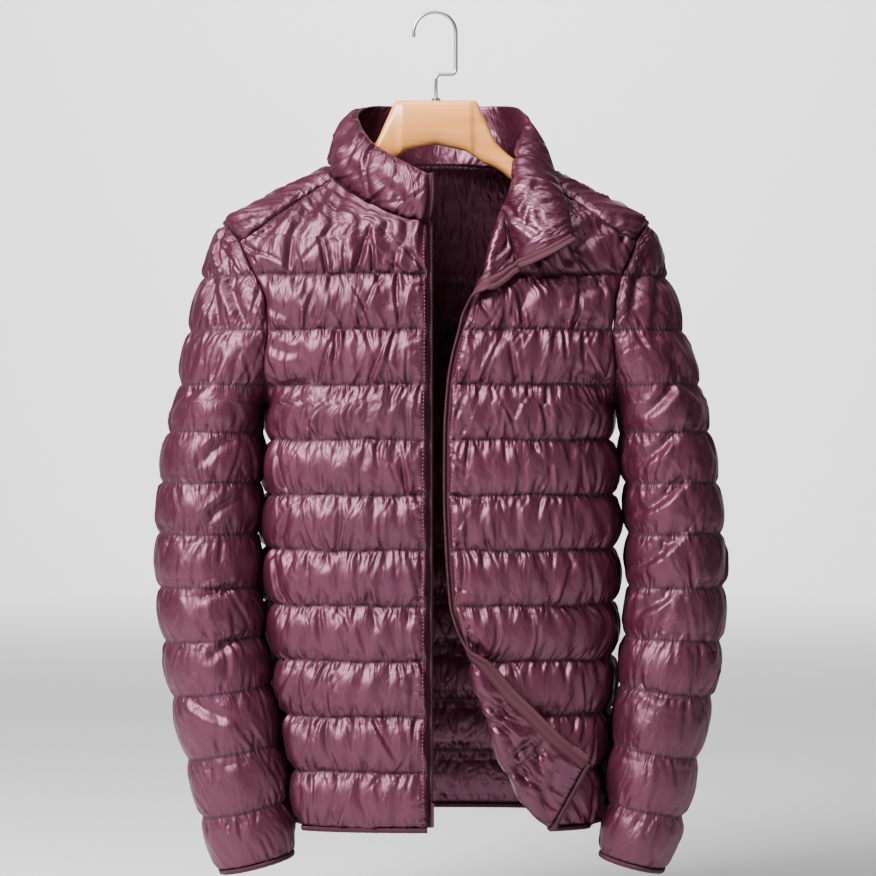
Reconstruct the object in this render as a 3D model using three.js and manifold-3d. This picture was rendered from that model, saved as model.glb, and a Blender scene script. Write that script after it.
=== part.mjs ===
// Quilted puffer jacket hanging on a wooden hanger. Millimetres, +Z up, the front faces -Y.
// The origin is the inside of the hook's crown, where a rail carries it.
// Right and left are the wearer's: the wearer's right is at -X.
import * as THREE from 'three';
import { mergeVertices } from 'three/addons/utils/BufferGeometryUtils.js';
import Module from 'manifold-3d';

const wasm = await Module();
wasm.setup();

// Driving dimensions
const CLOTH = 1.5;              // wall at a seam or quilt line
const PUFF = 9;                 // how far a body channel stands above its quilt lines
const SLEEVE_PUFF = 5;
const YOKE_PUFF = 5.4;
const COLLAR_PUFF = 7;
const TURNED_PUFF = 3.5;        // channels pressed flat where the front folds out
const SEAM_GAP = 0.3;
const CHANNEL = 55.7;           // spacing of the body's quilt lines
const FIRST_LINE = -276;        // highest body quilt line
const CHANNELS = 10;
const TIP = -219.4;             // shoulder tip, where the sleeve's crown begins
const TIP_HALF_WIDTH = 217;
const NECK_POINT = -162;        // neck end of the shoulder ridge
const NECK_HALF_WIDTH = 107;
const PIT = -408;               // underarm point
const ARMHOLE_HALF = (TIP - PIT) / 2;
const ARMHOLE_MIDDLE = (TIP + PIT) / 2;
const ARMHOLE_DEPTH = { front: 72, back: 74 };
const ZIP_EDGE = 8.5;           // half gap between the fronts' cloth edges
const ROLL = 9;                 // radius of the roll where the left front folds out
const SLEEVE_CLEARANCE = 19;  // body wall to sleeve wall, both channels and air
const SEAM_MARGIN = 7;          // flat strip beside a seam
const TAPE_BEYOND = 5.5;        // zip half beyond the cloth edge
const COLLAR_FOOT = 2.2;        // collar's edge above the neck seam
const CORNER_LIFT = 8;          // how far the folded corner stands off
const CORNER_RUN = 80;          // width of the folded corner at its widest
const NECK_STEP = 0.8;          // zip tape set back where it crosses the neck seam

// A table has named columns and a row for each section
const named = (names, row) => Object.fromEntries(names.map((name, k) => [name, row[k]]));
const table = (names, values) => values.map((row) => named(names, row));

const TORSO = table(['z', 'front', 'back', 'power'], [
  [-833, 104, 100, 2.8],
  [-600, 106, 102, 2.8],
  [-440, 105, 101, 2.7],
  [-330, 102, 97, 2.6],
  [-276, 98, 92, 2.5],
  [-240, 92, 88, 2.4],
  [-226, 89, 86, 2.3],
  [-205, 68, 83, 2.1],
  [-190, 53, 80, 2.0],
  [-162, 41, 76, 2.0],
  [-150, 36, 71, 2.0],
]);

// Half width of the body, and how far forward its side seam lies
const SIDE = {
  right: table(['z', 'half', 'seamY'], [
    [-833, 177, 0], [-600, 178, 0], [-500, 178, 0], [-450, 178, -4], [PIT, 176, -14],
  ]),
  left: table(['z', 'half', 'seamY'], [
    [-833, 178, 0], [-600, 182, 0], [-500, 184, 0], [-450, 184, -4], [PIT, 184, -14],
  ]),
};

// Distance of the armhole seam from the middle, in front and behind
const ARMHOLE = {
  right: table(['z', 'front', 'back'], [
    [PIT, 176, 176], [-360, 172, 178], [-332, 170, 182], [-304, 171, 187], [-270, 186, 198],
    [-240, 200, 208], [TIP, 217, 217],
  ]),
  left: table(['z', 'front', 'back'], [
    [PIT, 184, 184], [-360, 180, 184], [-334, 178.5, 186], [-304, 180, 190], [-276, 188, 199],
    [-240, 204, 209], [TIP, 217, 217],
  ]),
};

// Sleeve sections: outer and inner side, how far back the middle lies, half depth
const SLEEVE = {
  right: table(['z', 'outer', 'inner', 'middleY', 'halfDepth'], [
    [-885, 217, 143.5, -66, 37], [-828, 235, 151.5, -62, 44], [-769, 250.5, 158.5, -57, 49],
    [-705, 266, 169.5, -50, 53], [-649, 275, 178.5, -43, 56], [-597, 281, 183.5, -38, 58],
    [-540, 283, 185, -31, 60], [-484, 280, 182.5, -25, 63], [-443, 275, 180.5, -18, 68],
    [PIT, 266, 179.3, -14, 72], [-382, 261, 179, -12, 72], [-331, 252.5, 179, -9, 72],
    [-300, 245, 179, -8, 72], [-260, 233, 179, -6, 72], [-232, 223.5, 179, -5, 72], [TIP, 217, 179, -4, 72],
  ]),
  left: table(['z', 'outer', 'inner', 'middleY', 'halfDepth'], [
    [-885, 229, 161.5, -66, 35], [-843, 244, 173.5, -62, 43], [-802, 255.5, 178.5, -58, 47],
    [-751, 268, 183.5, -55, 50], [-700, 280, 189.5, -49, 53], [-649, 288.5, 195.5, -43, 56],
    [-590, 292.5, 200, -37, 58], [-525, 290.5, 199.5, -29, 61], [-484, 286.5, 196.5, -25, 63],
    [-443, 280.5, 192.5, -18, 68], [PIT, 273, 187.3, -14, 72], [-382, 267, 187, -12, 72],
    [-331, 253.5, 187, -9, 72], [-300, 244.5, 187, -8, 72], [-260, 231, 187, -6, 72],
    [-232, 223.5, 187, -5, 72], [TIP, 217, 187, -4, 72],
  ]),
};

// Sleeve quilt lines from the cuff up, with the slope of each across the sleeve in degrees
const SLEEVE_LINES = table(['z', 'slope'], [
  [-870, 14], [-818, 11.5], [-760, 10], [-699, 7], [-646, 3], [-593, 0], [-539, 0], [-487, 0], [-435, 0],
]);

// Left front: place of the fold, the zip's edge where the front is turned out, and how far it turns
const LEFT_EDGE = table(['z', 'foldX', 'zipX', 'zipZ', 'turn'], [
  [-833, 112, 148.8, -764, 180],
  [-800, 86, 126, -746, 180],
  [-777, 72, 112, -733, 180],
  [-750, 61, 93, -714, 180],
  [-721, 52, 76, -697, 180],
  [-694, 43, 60, -677, 175],
  [-666, 35, 46, -654, 140],
  [-645, 28, 32, -641, 80],
  [-625, 22.5, 24, -625, 35],
  [-608, 18.5, 18.5, -608, 0],
  [-554, 14.5, 14.5, -554, 0],
  [-498, 12.5, 12.5, -498, 0],
  [-443, 12.7, 12.7, -443, 0],
  [-387, 16, 16, -387, 0],
  [-360, 20.5, 20.5, -360, 0],
  [-331, 28, 28, -331, 0],
  [-315, 32, 34, -315, 40],
  [-298, 37.5, 41, -302, 90],
  [-287, 43, 48, -297, 140],
  [-276, 47.5, 53.5, -292, 170],
  [-264, 49.5, 61, -286, 180],
  [-252, 51.5, 67.5, -281, 180],
  [-240, 55, 73, -275.5, 180],
  [-226, 60, 78.4, -270.8, 180],
  [-221, 61.2, 75, -255, 180],
  [-216, 62.6, 71, -238, 180],
  [-210, 64.3, 67.5, -219, 120],
  [-205, 69, 69, -205, 0],
  [-192, 88, 88, -192, 0],
  [-174, 102, 102, -174, 0],
]);

// Front neck seam of the right front, from the zip to the shoulder seam
const NECK_SEAM = table(['z', 'x'], [[-226, ZIP_EDGE], [-218, 38], [-210, 58], [-192, 86], [-174, 105]]);

// Forward shoulder seam, seen from the front
const SHOULDER_SEAM = table(['z', 'x'], [[-240, 195], [-174, 106]]);

// Collar sections: share of the way round, middle of its height, top edge
const COLLAR = table(['share', 'midX', 'midY', 'midZ', 'topX', 'topY', 'topZ'], [
  [0, -7, -98, -200, -8, -97, -175],
  [0.1, -41, -84, -185, -40, -76, -157],
  [0.2, -78, -55, -160, -63, -48, -141],
  [0.26, -95, -32, -144, -76, -18, -122],
  [0.3, -99, -6, -133, -81, 8, -107],
  [0.36, -92, 28, -125, -75, 38, -95],
  [0.42, -66, 60, -121, -56, 62, -89],
  [0.5, 0, 80, -120, 0, 78, -88],
  [0.575, 64, 62, -121, 57, 64, -89],
  [0.63, 86, 34, -123, 82, 36, -93],
  [0.68, 92, 4, -130, 96, 6, -108],
  [0.74, 86, -32, -143, 114, -26, -140],
  [0.8, 84, -64, -165, 124, -60, -176],
  [0.88, 94, -100, -206, 134, -94, -208],
  [1, 110, -127, -256, 137, -118, -241],
]);

// Hanger sections from the middle out: top, bottom, how far back its middle lies, half depth
const HANGER = table(['x', 'top', 'bottom', 'y', 'halfDepth'], [
  [0, -90.5, -136, 0, 9], [30, -90.5, -143, 0, 10], [40.5, -90.5, -149, 0, 11], [50, -107, -155, 1, 12],
  [63, -134, -161, 2, 13], [82, -151.5, -175, 4, 15], [104, -165, -190, 6, 16], [140, -182, -206, 6, 16],
  [175, -199.5, -221, 5, 16], [203, -214, -231, 3, 14],
]);

// Hook wire
const WIRE_RADIUS = 1.8;
const HOOK_RADIUS = 22;
const HOOK_DROP = -58;
const HOOK_BEND = 5;
const SHANK_END = -112;

// Zip hardware and pull tab
const TAPE = { overlap: 8, front: 0.5, back: 1.6 };
const BEAD = { inner: 3.2, front: 0.6, back: -1.6 };
const SLIDER_LENGTH = 12;
const BOX_LENGTH = 6;
const PULL_LENGTH = 15;
const PULL_WIDTH = 4.4;
const PULL_PIN = 0.8;

// Value of a column at a height, on smooth cubics that do not overshoot
function at(rows, column, z, key = 'z') {
  const order = rows[0][key] < rows[rows.length - 1][key] ? rows : [...rows].reverse();
  const last = order.length - 1;
  const t = Math.min(Math.max(z, order[0][key]), order[last][key]);
  let k = 0;
  while (k < last - 1 && t > order[k + 1][key]) k += 1;
  const slope = (m) => (order[m + 1][column] - order[m][column]) / (order[m + 1][key] - order[m][key]);
  const tangent = (m) => {
    if (m === 0) return slope(0);
    if (m === last) return slope(last - 1);
    const [before, after] = [slope(m - 1), slope(m)];
    return before * after <= 0 ? 0 : (2 * before * after) / (before + after);
  };
  const step = order[k + 1][key] - order[k][key];
  const s = (t - order[k][key]) / step;
  const [a, b] = [order[k][column], order[k + 1][column]];
  const [da, db] = [tangent(k) * step, tangent(k + 1) * step];
  return a + s * (da + s * (3 * (b - a) - 2 * da - db + s * (2 * (a - b) + da + db)));
}

const lerp = (a, b, t) => a + (b - a) * t;
const smooth = (t) => {
  const s = Math.min(Math.max(t, 0), 1);
  return s * s * (3 - 2 * s);
};

// Share of the armhole's height: 1 at the shoulder tip, -1 at the underarm
const armholeShare = (z) => Math.min(Math.max((z - ARMHOLE_MIDDLE) / ARMHOLE_HALF, -1), 1);

function armholePoint(side, half, z) {
  const swing = ARMHOLE_DEPTH[half] * Math.sqrt(1 - armholeShare(z) ** 2);
  const y = at(SLEEVE[side], 'middleY', z) + (half === 'front' ? -swing : swing);
  return { x: at(ARMHOLE[side], half, z), y };
}

// Half width of the ring at a height, so that it passes through the armhole seam
function ringHalfWidth(side, half, z) {
  if (z >= TIP) return lerp(TIP_HALF_WIDTH, NECK_HALF_WIDTH, (z - TIP) / (NECK_POINT - TIP));
  if (z <= PIT) return at(SIDE[side], 'half', z);
  const point = armholePoint(side, half, z);
  const power = at(TORSO, 'power', z);
  return point.x / (1 - (Math.abs(point.y) / at(TORSO, half, z)) ** power) ** (1 / power);
}

// The sleeve's inner side, which presses the body in
function sleeveLimit(side, y, z) {
  const [outer, inner] = [at(SLEEVE[side], 'outer', z), at(SLEEVE[side], 'inner', z)];
  const clear = SLEEVE_CLEARANCE * smooth((PIT - z) / 30);
  const off = (y - at(SLEEVE[side], 'middleY', z)) / (at(SLEEVE[side], 'halfDepth', z) + clear);
  if (Math.abs(off) >= 1) return outer;
  return (outer + inner) / 2 - ((outer - inner) / 2 + clear) * Math.sqrt(1 - off * off);
}

// Body form: a superellipse ring at each height, by the angle from straight ahead towards +X
function torso(angle, z) {
  const side = Math.sin(angle) < 0 ? 'right' : 'left';
  const half = Math.cos(angle) > 0 ? 'front' : 'back';
  const power = at(TORSO, 'power', z);
  const across = Math.abs(Math.sin(angle)) / ringHalfWidth(side, half, z);
  const along = Math.abs(Math.cos(angle)) / at(TORSO, half, z);
  const radius = (across ** power + along ** power) ** (-1 / power);
  const y = -radius * Math.cos(angle);
  let x = radius * Math.abs(Math.sin(angle));
  if (z < PIT) {
    const soft = 3;
    x = -soft * Math.log(Math.exp(-x / soft) + Math.exp(-sleeveLimit(side, y, z) / soft));
  }
  return new THREE.Vector3(side === 'right' ? -x : x, y, z);
}

// Angle on the front where the ring has the given distance from the middle
function frontAngle(side, x, z) {
  const power = at(TORSO, 'power', z);
  const share = Math.min(x / ringHalfWidth(side, 'front', z), 0.9999);
  const y = at(TORSO, 'front', z) * (1 - share ** power) ** (1 / power);
  return Math.atan2(x, y) * (side === 'right' ? -1 : 1);
}

function armholeAngle(side, half, z) {
  const point = armholePoint(side, half, z);
  return Math.atan2(point.x, -point.y) * (side === 'right' ? -1 : 1);
}

// Grids: rows run upwards and columns anticlockwise seen from above, so that normals point out
function gridNormal(grid, i, j, closed) {
  const rows = grid.length - 1;
  const columns = grid[0].length - 1;
  const left = closed && j === 0 ? grid[i][columns - 1] : grid[i][Math.max(j - 1, 0)];
  const right = closed && j === columns ? grid[i][1] : grid[i][Math.min(j + 1, columns)];
  const across = new THREE.Vector3().subVectors(right, left);
  const [high, low] = [grid[Math.min(i + 1, rows)], grid[Math.max(i - 1, 0)]];
  const rise = (k) => new THREE.Vector3().subVectors(high[k], low[k]);
  const atSeam = closed && (j === 0 || j === columns);
  const up = atSeam ? rise(0).add(rise(columns)) : rise(j);
  return across.cross(up).normalize();
}

const normalsOf = (grid, openFrom = 0) => grid.map((row, i) => row.map((_, j) => {
  const closed = openFrom > 0 && i <= openFrom;
  return gridNormal(grid, i, j, closed);
}));

// A padded wall: outer points raised from a plain inner grid that keeps only some of the rows
function wall(grid, puff, keep, openFrom = 0, normals = normalsOf(grid, openFrom)) {
  const columns = grid[0].length - 1;
  const rows = grid.length - 1;
  const raised = (p, i, j) => p.clone().addScaledVector(normals[i][j], CLOTH + puff(i, j));
  const outer = grid.map((row, i) => row.map((p, j) => raised(p, i, j)));
  const kept = grid.map((_, i) => i).filter((i) => keep(i) || i === 0 || i === rows || i === openFrom);
  const triangles = [];
  const face = (a, b, c) => triangles.push(a, b, c);
  for (let i = 0; i < rows; i += 1) {
    for (let j = 0; j < columns; j += 1) {
      face(outer[i][j], outer[i][j + 1], outer[i + 1][j + 1]);
      face(outer[i][j], outer[i + 1][j + 1], outer[i + 1][j]);
    }
  }
  for (let k = 0; k < kept.length - 1; k += 1) {
    const [low, high] = [kept[k], kept[k + 1]];
    for (let j = 0; j < columns; j += 1) {
      face(grid[low][j], grid[high][j + 1], grid[low][j + 1]);
      face(grid[low][j], grid[high][j], grid[high][j + 1]);
    }
    if (low < openFrom) continue;
    for (let i = low; i < high; i += 1) {
      face(outer[i][0], outer[i + 1][0], grid[low][0]);
      face(outer[i + 1][columns], outer[i][columns], grid[low][columns]);
    }
    face(outer[high][0], grid[high][0], grid[low][0]);
    face(grid[high][columns], outer[high][columns], grid[low][columns]);
  }
  for (let j = 0; j < columns; j += 1) {
    face(outer[0][j + 1], outer[0][j], grid[0][j]);
    face(outer[0][j + 1], grid[0][j], grid[0][j + 1]);
    face(outer[rows][j], outer[rows][j + 1], grid[rows][j + 1]);
    face(outer[rows][j], grid[rows][j + 1], grid[rows][j]);
  }
  return triangles;
}

function solid(triangles) {
  const geometry = new THREE.BufferGeometry().setFromPoints(triangles);
  const merged = mergeVertices(geometry, 1e-3);
  const index = merged.index.array;
  const clean = [];
  for (let k = 0; k < index.length; k += 3) {
    const [a, b, c] = [index[k], index[k + 1], index[k + 2]];
    if (a !== b && b !== c && a !== c) clean.push(a, b, c);
  }
  merged.setIndex(clean);
  return merged;
}

// Channel cross-section: 0 at the quilt lines, 1 at the crown
const crown = (share) => Math.sqrt(Math.max(Math.sin(Math.PI * Math.min(Math.max(share, 0), 1)), 0));
const CHANNEL_STEPS = [0, 0.3, 0.7];

// Heights of the body's rows from the hem up to the first quilt line
const bodyRows = [];
for (let k = CHANNELS - 1; k >= 0; k -= 1) {
  for (const step of CHANNEL_STEPS) bodyRows.push(FIRST_LINE - (k + 1 - step) * CHANNEL);
}
const PIT_ROW = bodyRows.findIndex((z) => z > PIT);
bodyRows.splice(PIT_ROW, 0, PIT);
const yokeRows = [-276, -264, -252, -240];
const seamRows = [-226, -210, -192, -174];

const channelShare = (z) => ((((FIRST_LINE - z) / CHANNEL) % 1) + 1) % 1;
const isLine = (z) => Math.abs(channelShare(z)) < 1e-6 || Math.abs(channelShare(z) - 1) < 1e-6;

// Positions along a row: a flat strip beside each seam, then even steps
function spread(count, length) {
  const margin = Math.min(SEAM_MARGIN, length / (count + 1)) / length;
  const inside = Array.from({ length: count - 1 }, (_, k) => lerp(margin, 1 - margin, k / (count - 2)));
  return [0, ...inside, 1];
}

// Right front: from the side seam or armhole round to the zip
function sideAngle(side, half, z) {
  if (z > PIT) return armholeAngle(side, half, z);
  const y = at(SIDE[side], 'seamY', z);
  return Math.atan2(at(SIDE[side], 'half', z), -y) * (side === 'right' ? -1 : 1);
}

function frontOuterAngle(side, z) {
  if (z > -240 - 1e-6) return frontAngle(side, at(SHOULDER_SEAM, 'x', z), z);
  return sideAngle(side, 'front', z);
}

const GIRTH = 140;              // mean distance of the body wall from the middle
const GAP_ANGLE = SEAM_GAP / 2 / 180;
const frontRows = [...bodyRows, ...yokeRows, ...seamRows];
const FRONT_COLUMNS = 13;

function frontTop(x) {
  const neck = x < 105 ? at(NECK_SEAM, 'z', Math.max(x, ZIP_EDGE), 'x') : -174;
  const seam = x > 106 ? at(SHOULDER_SEAM, 'z', Math.min(x, 195), 'x') : -174;
  return Math.min(neck, seam);
}

// Channels are pressed flat where the sleeve and the body meet under the arm
function pitFade(point) {
  const off = Math.hypot((point.y + 14) * 0.6, point.z - PIT);
  return smooth((off - 14) / 40);
}

function frontPuff(point, z) {
  if (z < FIRST_LINE) return PUFF * crown(channelShare(z));
  return PUFF * crown((z - FIRST_LINE) / (frontTop(Math.abs(point.x)) - FIRST_LINE));
}

const frontRightGrid = frontRows.map((z) => {
  const edge = z < -226.1 ? ZIP_EDGE : at(NECK_SEAM, 'x', z);
  const from = frontOuterAngle('right', z) + GAP_ANGLE;
  const to = frontAngle('right', edge, z);
  return spread(FRONT_COLUMNS, (to - from) * GIRTH).map((s) => torso(lerp(from, to, s), z));
});

// Left front: folded corner or lapel, roll, then the panel to the side seam or armhole
const TURNED_COLUMNS = 4;
const ROLL_COLUMNS = 4;
const leftRows = [...bodyRows, ...yokeRows, -226, -221, -216, -210, -192, -174];

function leftRow(z) {
  const foldX = at(LEFT_EDGE, 'foldX', z);
  const reachX = at(LEFT_EDGE, 'zipX', z) - foldX;
  const reachZ = at(LEFT_EDGE, 'zipZ', z) - z;
  const reach = Math.hypot(reachX, reachZ);
  const end = (at(LEFT_EDGE, 'turn', z) * Math.PI) / 180;
  const turned = end > 0.3;
  const to = frontOuterAngle('left', z) - GAP_ANGLE;
  const strip = Math.min(1.6, (torso(to, z).x - foldX) / 20);
  const radius = turned ? Math.min(ROLL, Math.max(reach / 1.15, 5)) : 0;
  const start = foldX + (turned ? radius : strip * (TURNED_COLUMNS + ROLL_COLUMNS));
  const onBody = (x) => torso(frontAngle('left', x, z), z);
  const points = [];
  if (turned) {
    const base = onBody(foldX + radius).y;
    const out = end > Math.PI / 2 ? [reachX / reach, reachZ / reach] : [1, 0];
    const place = (p, rise) => {
      const e = rise > radius ? out : [1, 0];
      return new THREE.Vector3(foldX + e[0] * p, base - rise, z + e[1] * p);
    };
    const flap = Math.max(reach - radius, 4);
    for (let k = 0; k < TURNED_COLUMNS; k += 1) {
      const run = flap * (1 - k / TURNED_COLUMNS);
      const p = radius * (1 - Math.sin(end)) - run * Math.cos(end);
      const rise = radius * (1 - Math.cos(end)) + run * Math.sin(end);
      points.push(place(p, rise + CORNER_LIFT * (run / CORNER_RUN) ** 2));
    }
    for (let k = 0; k < ROLL_COLUMNS; k += 1) {
      const turn = end * (1 - k / ROLL_COLUMNS);
      points.push(place(radius * (1 - Math.sin(turn)), radius * (1 - Math.cos(turn))));
    }
  } else {
    for (let k = 0; k < TURNED_COLUMNS + ROLL_COLUMNS; k += 1) points.push(onBody(foldX + strip * k));
  }
  const from = frontAngle('left', start, z);
  const steps = spread(FRONT_COLUMNS, (to - from) * GIRTH).slice(1);
  points.push(torso(from, z), ...steps.map((s) => torso(lerp(from, to, s), z)));
  return points;
}

const frontLeftGrid = leftRows.map(leftRow);

// Back: side seams and armholes, then over the shoulders to the ridge
const BACK_COLUMNS = 20;
const SHOULDER_STEPS = seamRows.map((z) => (z + 240) / (-174 + 240));
const ridgeZ = (share) => lerp(TIP, NECK_POINT, share);
const backRows = [...bodyRows, ...yokeRows, -230, -220.4, TIP];

function backNeckZ(angle) {
  return lerp(NECK_POINT, -152, smooth((Math.PI / 2 - Math.abs(Math.PI - angle)) * 0.7));
}

const fullTurn = 2 * Math.PI;
const backGrid = [
  ...backRows.map((z) => {
    const gap = z > -230 ? 0 : GAP_ANGLE;
    const from = (z >= TIP ? Math.PI / 2 : sideAngle('left', 'back', z)) + gap;
    const to = fullTurn + (z >= TIP ? -Math.PI / 2 : sideAngle('right', 'back', z)) - gap;
    return spread(BACK_COLUMNS, (to - from) * GIRTH).map((s) => torso(lerp(from, to, s), z));
  }),
  ...SHOULDER_STEPS.map((share) => spread(BACK_COLUMNS, Math.PI * GIRTH).map((s) => {
    const angle = lerp(Math.PI / 2, 1.5 * Math.PI, s);
    const height = lerp(TIP, backNeckZ(angle), share);
    return torso(angle, lerp(ridgeZ(share), height, smooth(Math.min(s, 1 - s) * 6)));
  })),
];
const RIDGE_ROW = backRows.length - 1;

function backPuff(i, point) {
  if (i === backGrid.length - 1) return 0;
  if (point.z <= FIRST_LINE) return PUFF * crown(channelShare(point.z));
  return PUFF * crown((point.z - FIRST_LINE) / (-150 - FIRST_LINE));
}

// Shoulder strip of the back, from the ridge forward and down to the shoulder seam
const yokeEdge = [TIP, -220.4, -230, -240];

function yokeGrid(side) {
  const sign = side === 'right' ? -1 : 1;
  const spans = yokeEdge.map((z, k) => (k ? Math.PI / 2 - Math.abs(armholeAngle(side, 'front', z)) : 0));
  const shares = [0, ...SHOULDER_STEPS];
  return shares.map((share) => yokeEdge.map((z, k) => {
    const fall = (TIP - z) / (TIP + 240);
    const seamZ = lerp(-240, -174, share);
    const seamX = at(SHOULDER_SEAM, 'x', seamZ) + SEAM_GAP;
    const seamAngle = share ? Math.abs(frontAngle(side, seamX, seamZ)) : Math.PI / 2 - spans[3];
    const angle = lerp(Math.PI / 2, seamAngle, spans[k] / spans[3]);
    return torso(sign * angle, lerp(ridgeZ(share), seamZ, fall));
  }));
}

// One solid of the back and its two shoulder strips, which share the ridge's points
function backTriangles() {
  const keep = (i) => i >= backRows.length || isLine(backRows[i]) || i === RIDGE_ROW;
  const atEdge = (i, j) => j === 0 || j === BACK_COLUMNS;
  const rise = (i, j) => {
    if (atEdge(i, j)) return 0;
    const nearSide = Math.min(j, BACK_COLUMNS - j) < 4;
    return backPuff(i, backGrid[i][j]) * (nearSide ? pitFade(backGrid[i][j]) : 1);
  };
  const main = wall(backGrid, rise, keep);
  const parts = [main];
  for (const side of ['right', 'left']) {
    const strip = yokeGrid(side);
    const column = side === 'left' ? 0 : BACK_COLUMNS;
    strip.forEach((row, k) => row[0].copy(backGrid[RIDGE_ROW + k][column]));
    parts.push(shoulderStrip(strip, side, column));
  }
  return dropInside(parts.flat());
}

function shoulderStrip(strip, side, column) {
  const grid = strip.map((row) => (side === 'left' ? [...row].reverse() : row));
  const ridge = side === 'left' ? grid[0].length - 1 : 0;
  const normals = normalsOf(grid);
  grid.forEach((row, k) => normals[k][ridge].copy(gridNormal(backGrid, RIDGE_ROW + k, column, false)));
  const rise = (i, j) => {
    const edge = i === 0 || i === grid.length - 1 || j === 0 || j === grid[0].length - 1;
    return edge ? 0 : YOKE_PUFF;
  };
  return wall(grid, rise, () => true, 0, normals);
}

// Two walls joined along a shared edge: their matching inside faces cancel
function dropInside(triangles) {
  const key = (p) => `${Math.round(p.x * 500)},${Math.round(p.y * 500)},${Math.round(p.z * 500)}`;
  const faces = new Map();
  for (let k = 0; k < triangles.length; k += 3) {
    const name = [key(triangles[k]), key(triangles[k + 1]), key(triangles[k + 2])].sort().join(';');
    faces.set(name, [...(faces.get(name) ?? []), k]);
  }
  return [...faces.values()].filter((list) => list.length === 1).flatMap(([k]) => triangles.slice(k, k + 3));
}

// Sleeves: closed rings below the underarm, open ones in the armhole
const SLEEVE_COLUMNS = 18;
const capRows = [...bodyRows.filter((z) => z >= PIT), ...yokeRows, -230, -223.6];

function sleeveRows() {
  const rows = [];
  SLEEVE_LINES.forEach((line, k) => {
    const next = SLEEVE_LINES[k + 1] ?? { z: -387.4, slope: 0 };
    for (const step of CHANNEL_STEPS) {
      const z = lerp(line.z, next.z, step);
      if (z < PIT - 4) rows.push({ z, slope: lerp(line.slope, next.slope, step), share: step });
    }
  });
  return rows;
}

function sleevePoint(side, turn, z, slope) {
  const sign = side === 'right' ? -1 : 1;
  const half = turn < 0 ? 'front' : 'back';
  const rows = SLEEVE[side];
  const tilt = Math.tan((slope * Math.PI) / 180);
  const edge = at(rows, 'outer', z - 38 * tilt);
  let radius = (edge - at(rows, 'inner', z + 38 * tilt)) / 2;
  let depth = at(rows, 'halfDepth', z);
  let swing = turn * Math.PI;
  let away = 0;
  if (z > PIT) {
    const share = armholeShare(z);
    radius = (edge - at(ARMHOLE[side], half, z)) / (1 - share);
    depth = ARMHOLE_DEPTH[half];
    swing = turn * Math.acos(share);
    away = (1.3 + (1 - share) * CLOTH) * smooth((Math.abs(turn) - 0.75) * 4);
  }
  const across = edge - radius * (1 - Math.cos(swing)) + away;
  const drop = radius * Math.cos(swing) * tilt;
  const y = at(rows, 'middleY', z) + depth * Math.sin(swing);
  return new THREE.Vector3(sign * across, y, z - drop);
}

function sleeveGrid(side) {
  const order = side === 'left' ? 1 : -1;
  const ring = ({ z, slope }) => Array.from({ length: SLEEVE_COLUMNS + 1 }, (_, j) => {
    const turn = z <= PIT && j === SLEEVE_COLUMNS ? -1 : -1 + (2 * j) / SLEEVE_COLUMNS;
    return sleevePoint(side, order * turn, z, slope);
  });
  return [...sleeveRows(), ...capRows.map((z) => ({ z, slope: 0 }))].map(ring);
}

function sleeveTriangles(side) {
  const low = sleeveRows();
  const openFrom = low.length;
  const grid = sleeveGrid(side);
  const atEdge = (j) => j === 0 || j === SLEEVE_COLUMNS;
  const puff = (i, j) => {
    if (i === grid.length - 1 || atEdge(j)) return 0;
    const fade = Math.min(j, SLEEVE_COLUMNS - j) < 5 ? pitFade(grid[i][j]) : 1;
    if (i < openFrom) return SLEEVE_PUFF * fade * crown(low[i].share);
    const z = capRows[i - openFrom];
    if (z > FIRST_LINE) return SLEEVE_PUFF * crown(((z - FIRST_LINE) / (TIP - FIRST_LINE)) * 0.9);
    return SLEEVE_PUFF * fade * crown(z < -387.5 ? 0.5 : channelShare(z));
  };
  const keep = (i) => {
    if (i < openFrom) return low[i].share === 0;
    return isLine(capRows[i - openFrom]) || i >= grid.length - 3;
  };
  return { triangles: wall(grid, puff, keep, openFrom), grid };
}

// Collar: stands on the neck seam's own points
const neckRows = seamRows.map((z) => frontRows.indexOf(z));
const leftNeckRows = [-226, -221, -216, -210, -192, -174].map((z) => leftRows.indexOf(z));
const lastShare = yokeEdge.length - 1;
const yokes = { right: yokeGrid('right'), left: yokeGrid('left') };
const neckEnd = yokes.right.length - 1;
const neckSeam = [
  ...neckRows.map((i) => frontRightGrid[i][FRONT_COLUMNS]),
  ...[lastShare - 1, 1].map((k) => yokes.right[neckEnd][k]),
  ...backGrid[backGrid.length - 1].slice().reverse(),
  ...[1, lastShare - 1].map((k) => yokes.left[neckEnd][k]),
  ...leftNeckRows.slice().reverse().map((i) => frontLeftGrid[i][0]),
];

function collarGrid() {
  let run = 0;
  const lengths = neckSeam.map((p, k) => {
    run += k ? p.distanceTo(neckSeam[k - 1]) : 0;
    return run;
  });
  const columns = neckSeam.map((seam, k) => {
    const share = lengths[k] / run;
    const read = (name) => at(COLLAR, name, share, 'share');
    const mid = new THREE.Vector3(read('midX'), read('midY'), read('midZ'));
    const top = new THREE.Vector3(read('topX'), read('topY'), read('topZ'));
    const lift = new THREE.Vector3().subVectors(mid, seam).normalize();
    const foot = seam.clone().addScaledVector(lift, COLLAR_FOOT);
    return [0, 0.14, 0.38, 0.64, 0.88, 1].map((t) => new THREE.Vector3()
      .addScaledVector(foot, (1 - t) * (1 - 2 * t))
      .addScaledVector(mid, 4 * t * (1 - t))
      .addScaledVector(top, t * (2 * t - 1)));
  }).reverse();
  return columns[0].map((_, i) => columns.map((column) => column[i]));
}

// Direction of a path at one of its points
function alongPath(points, k) {
  const [before, after] = [points[Math.max(k - 1, 0)], points[Math.min(k + 1, points.length - 1)]];
  return new THREE.Vector3().subVectors(after, before).normalize();
}

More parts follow.
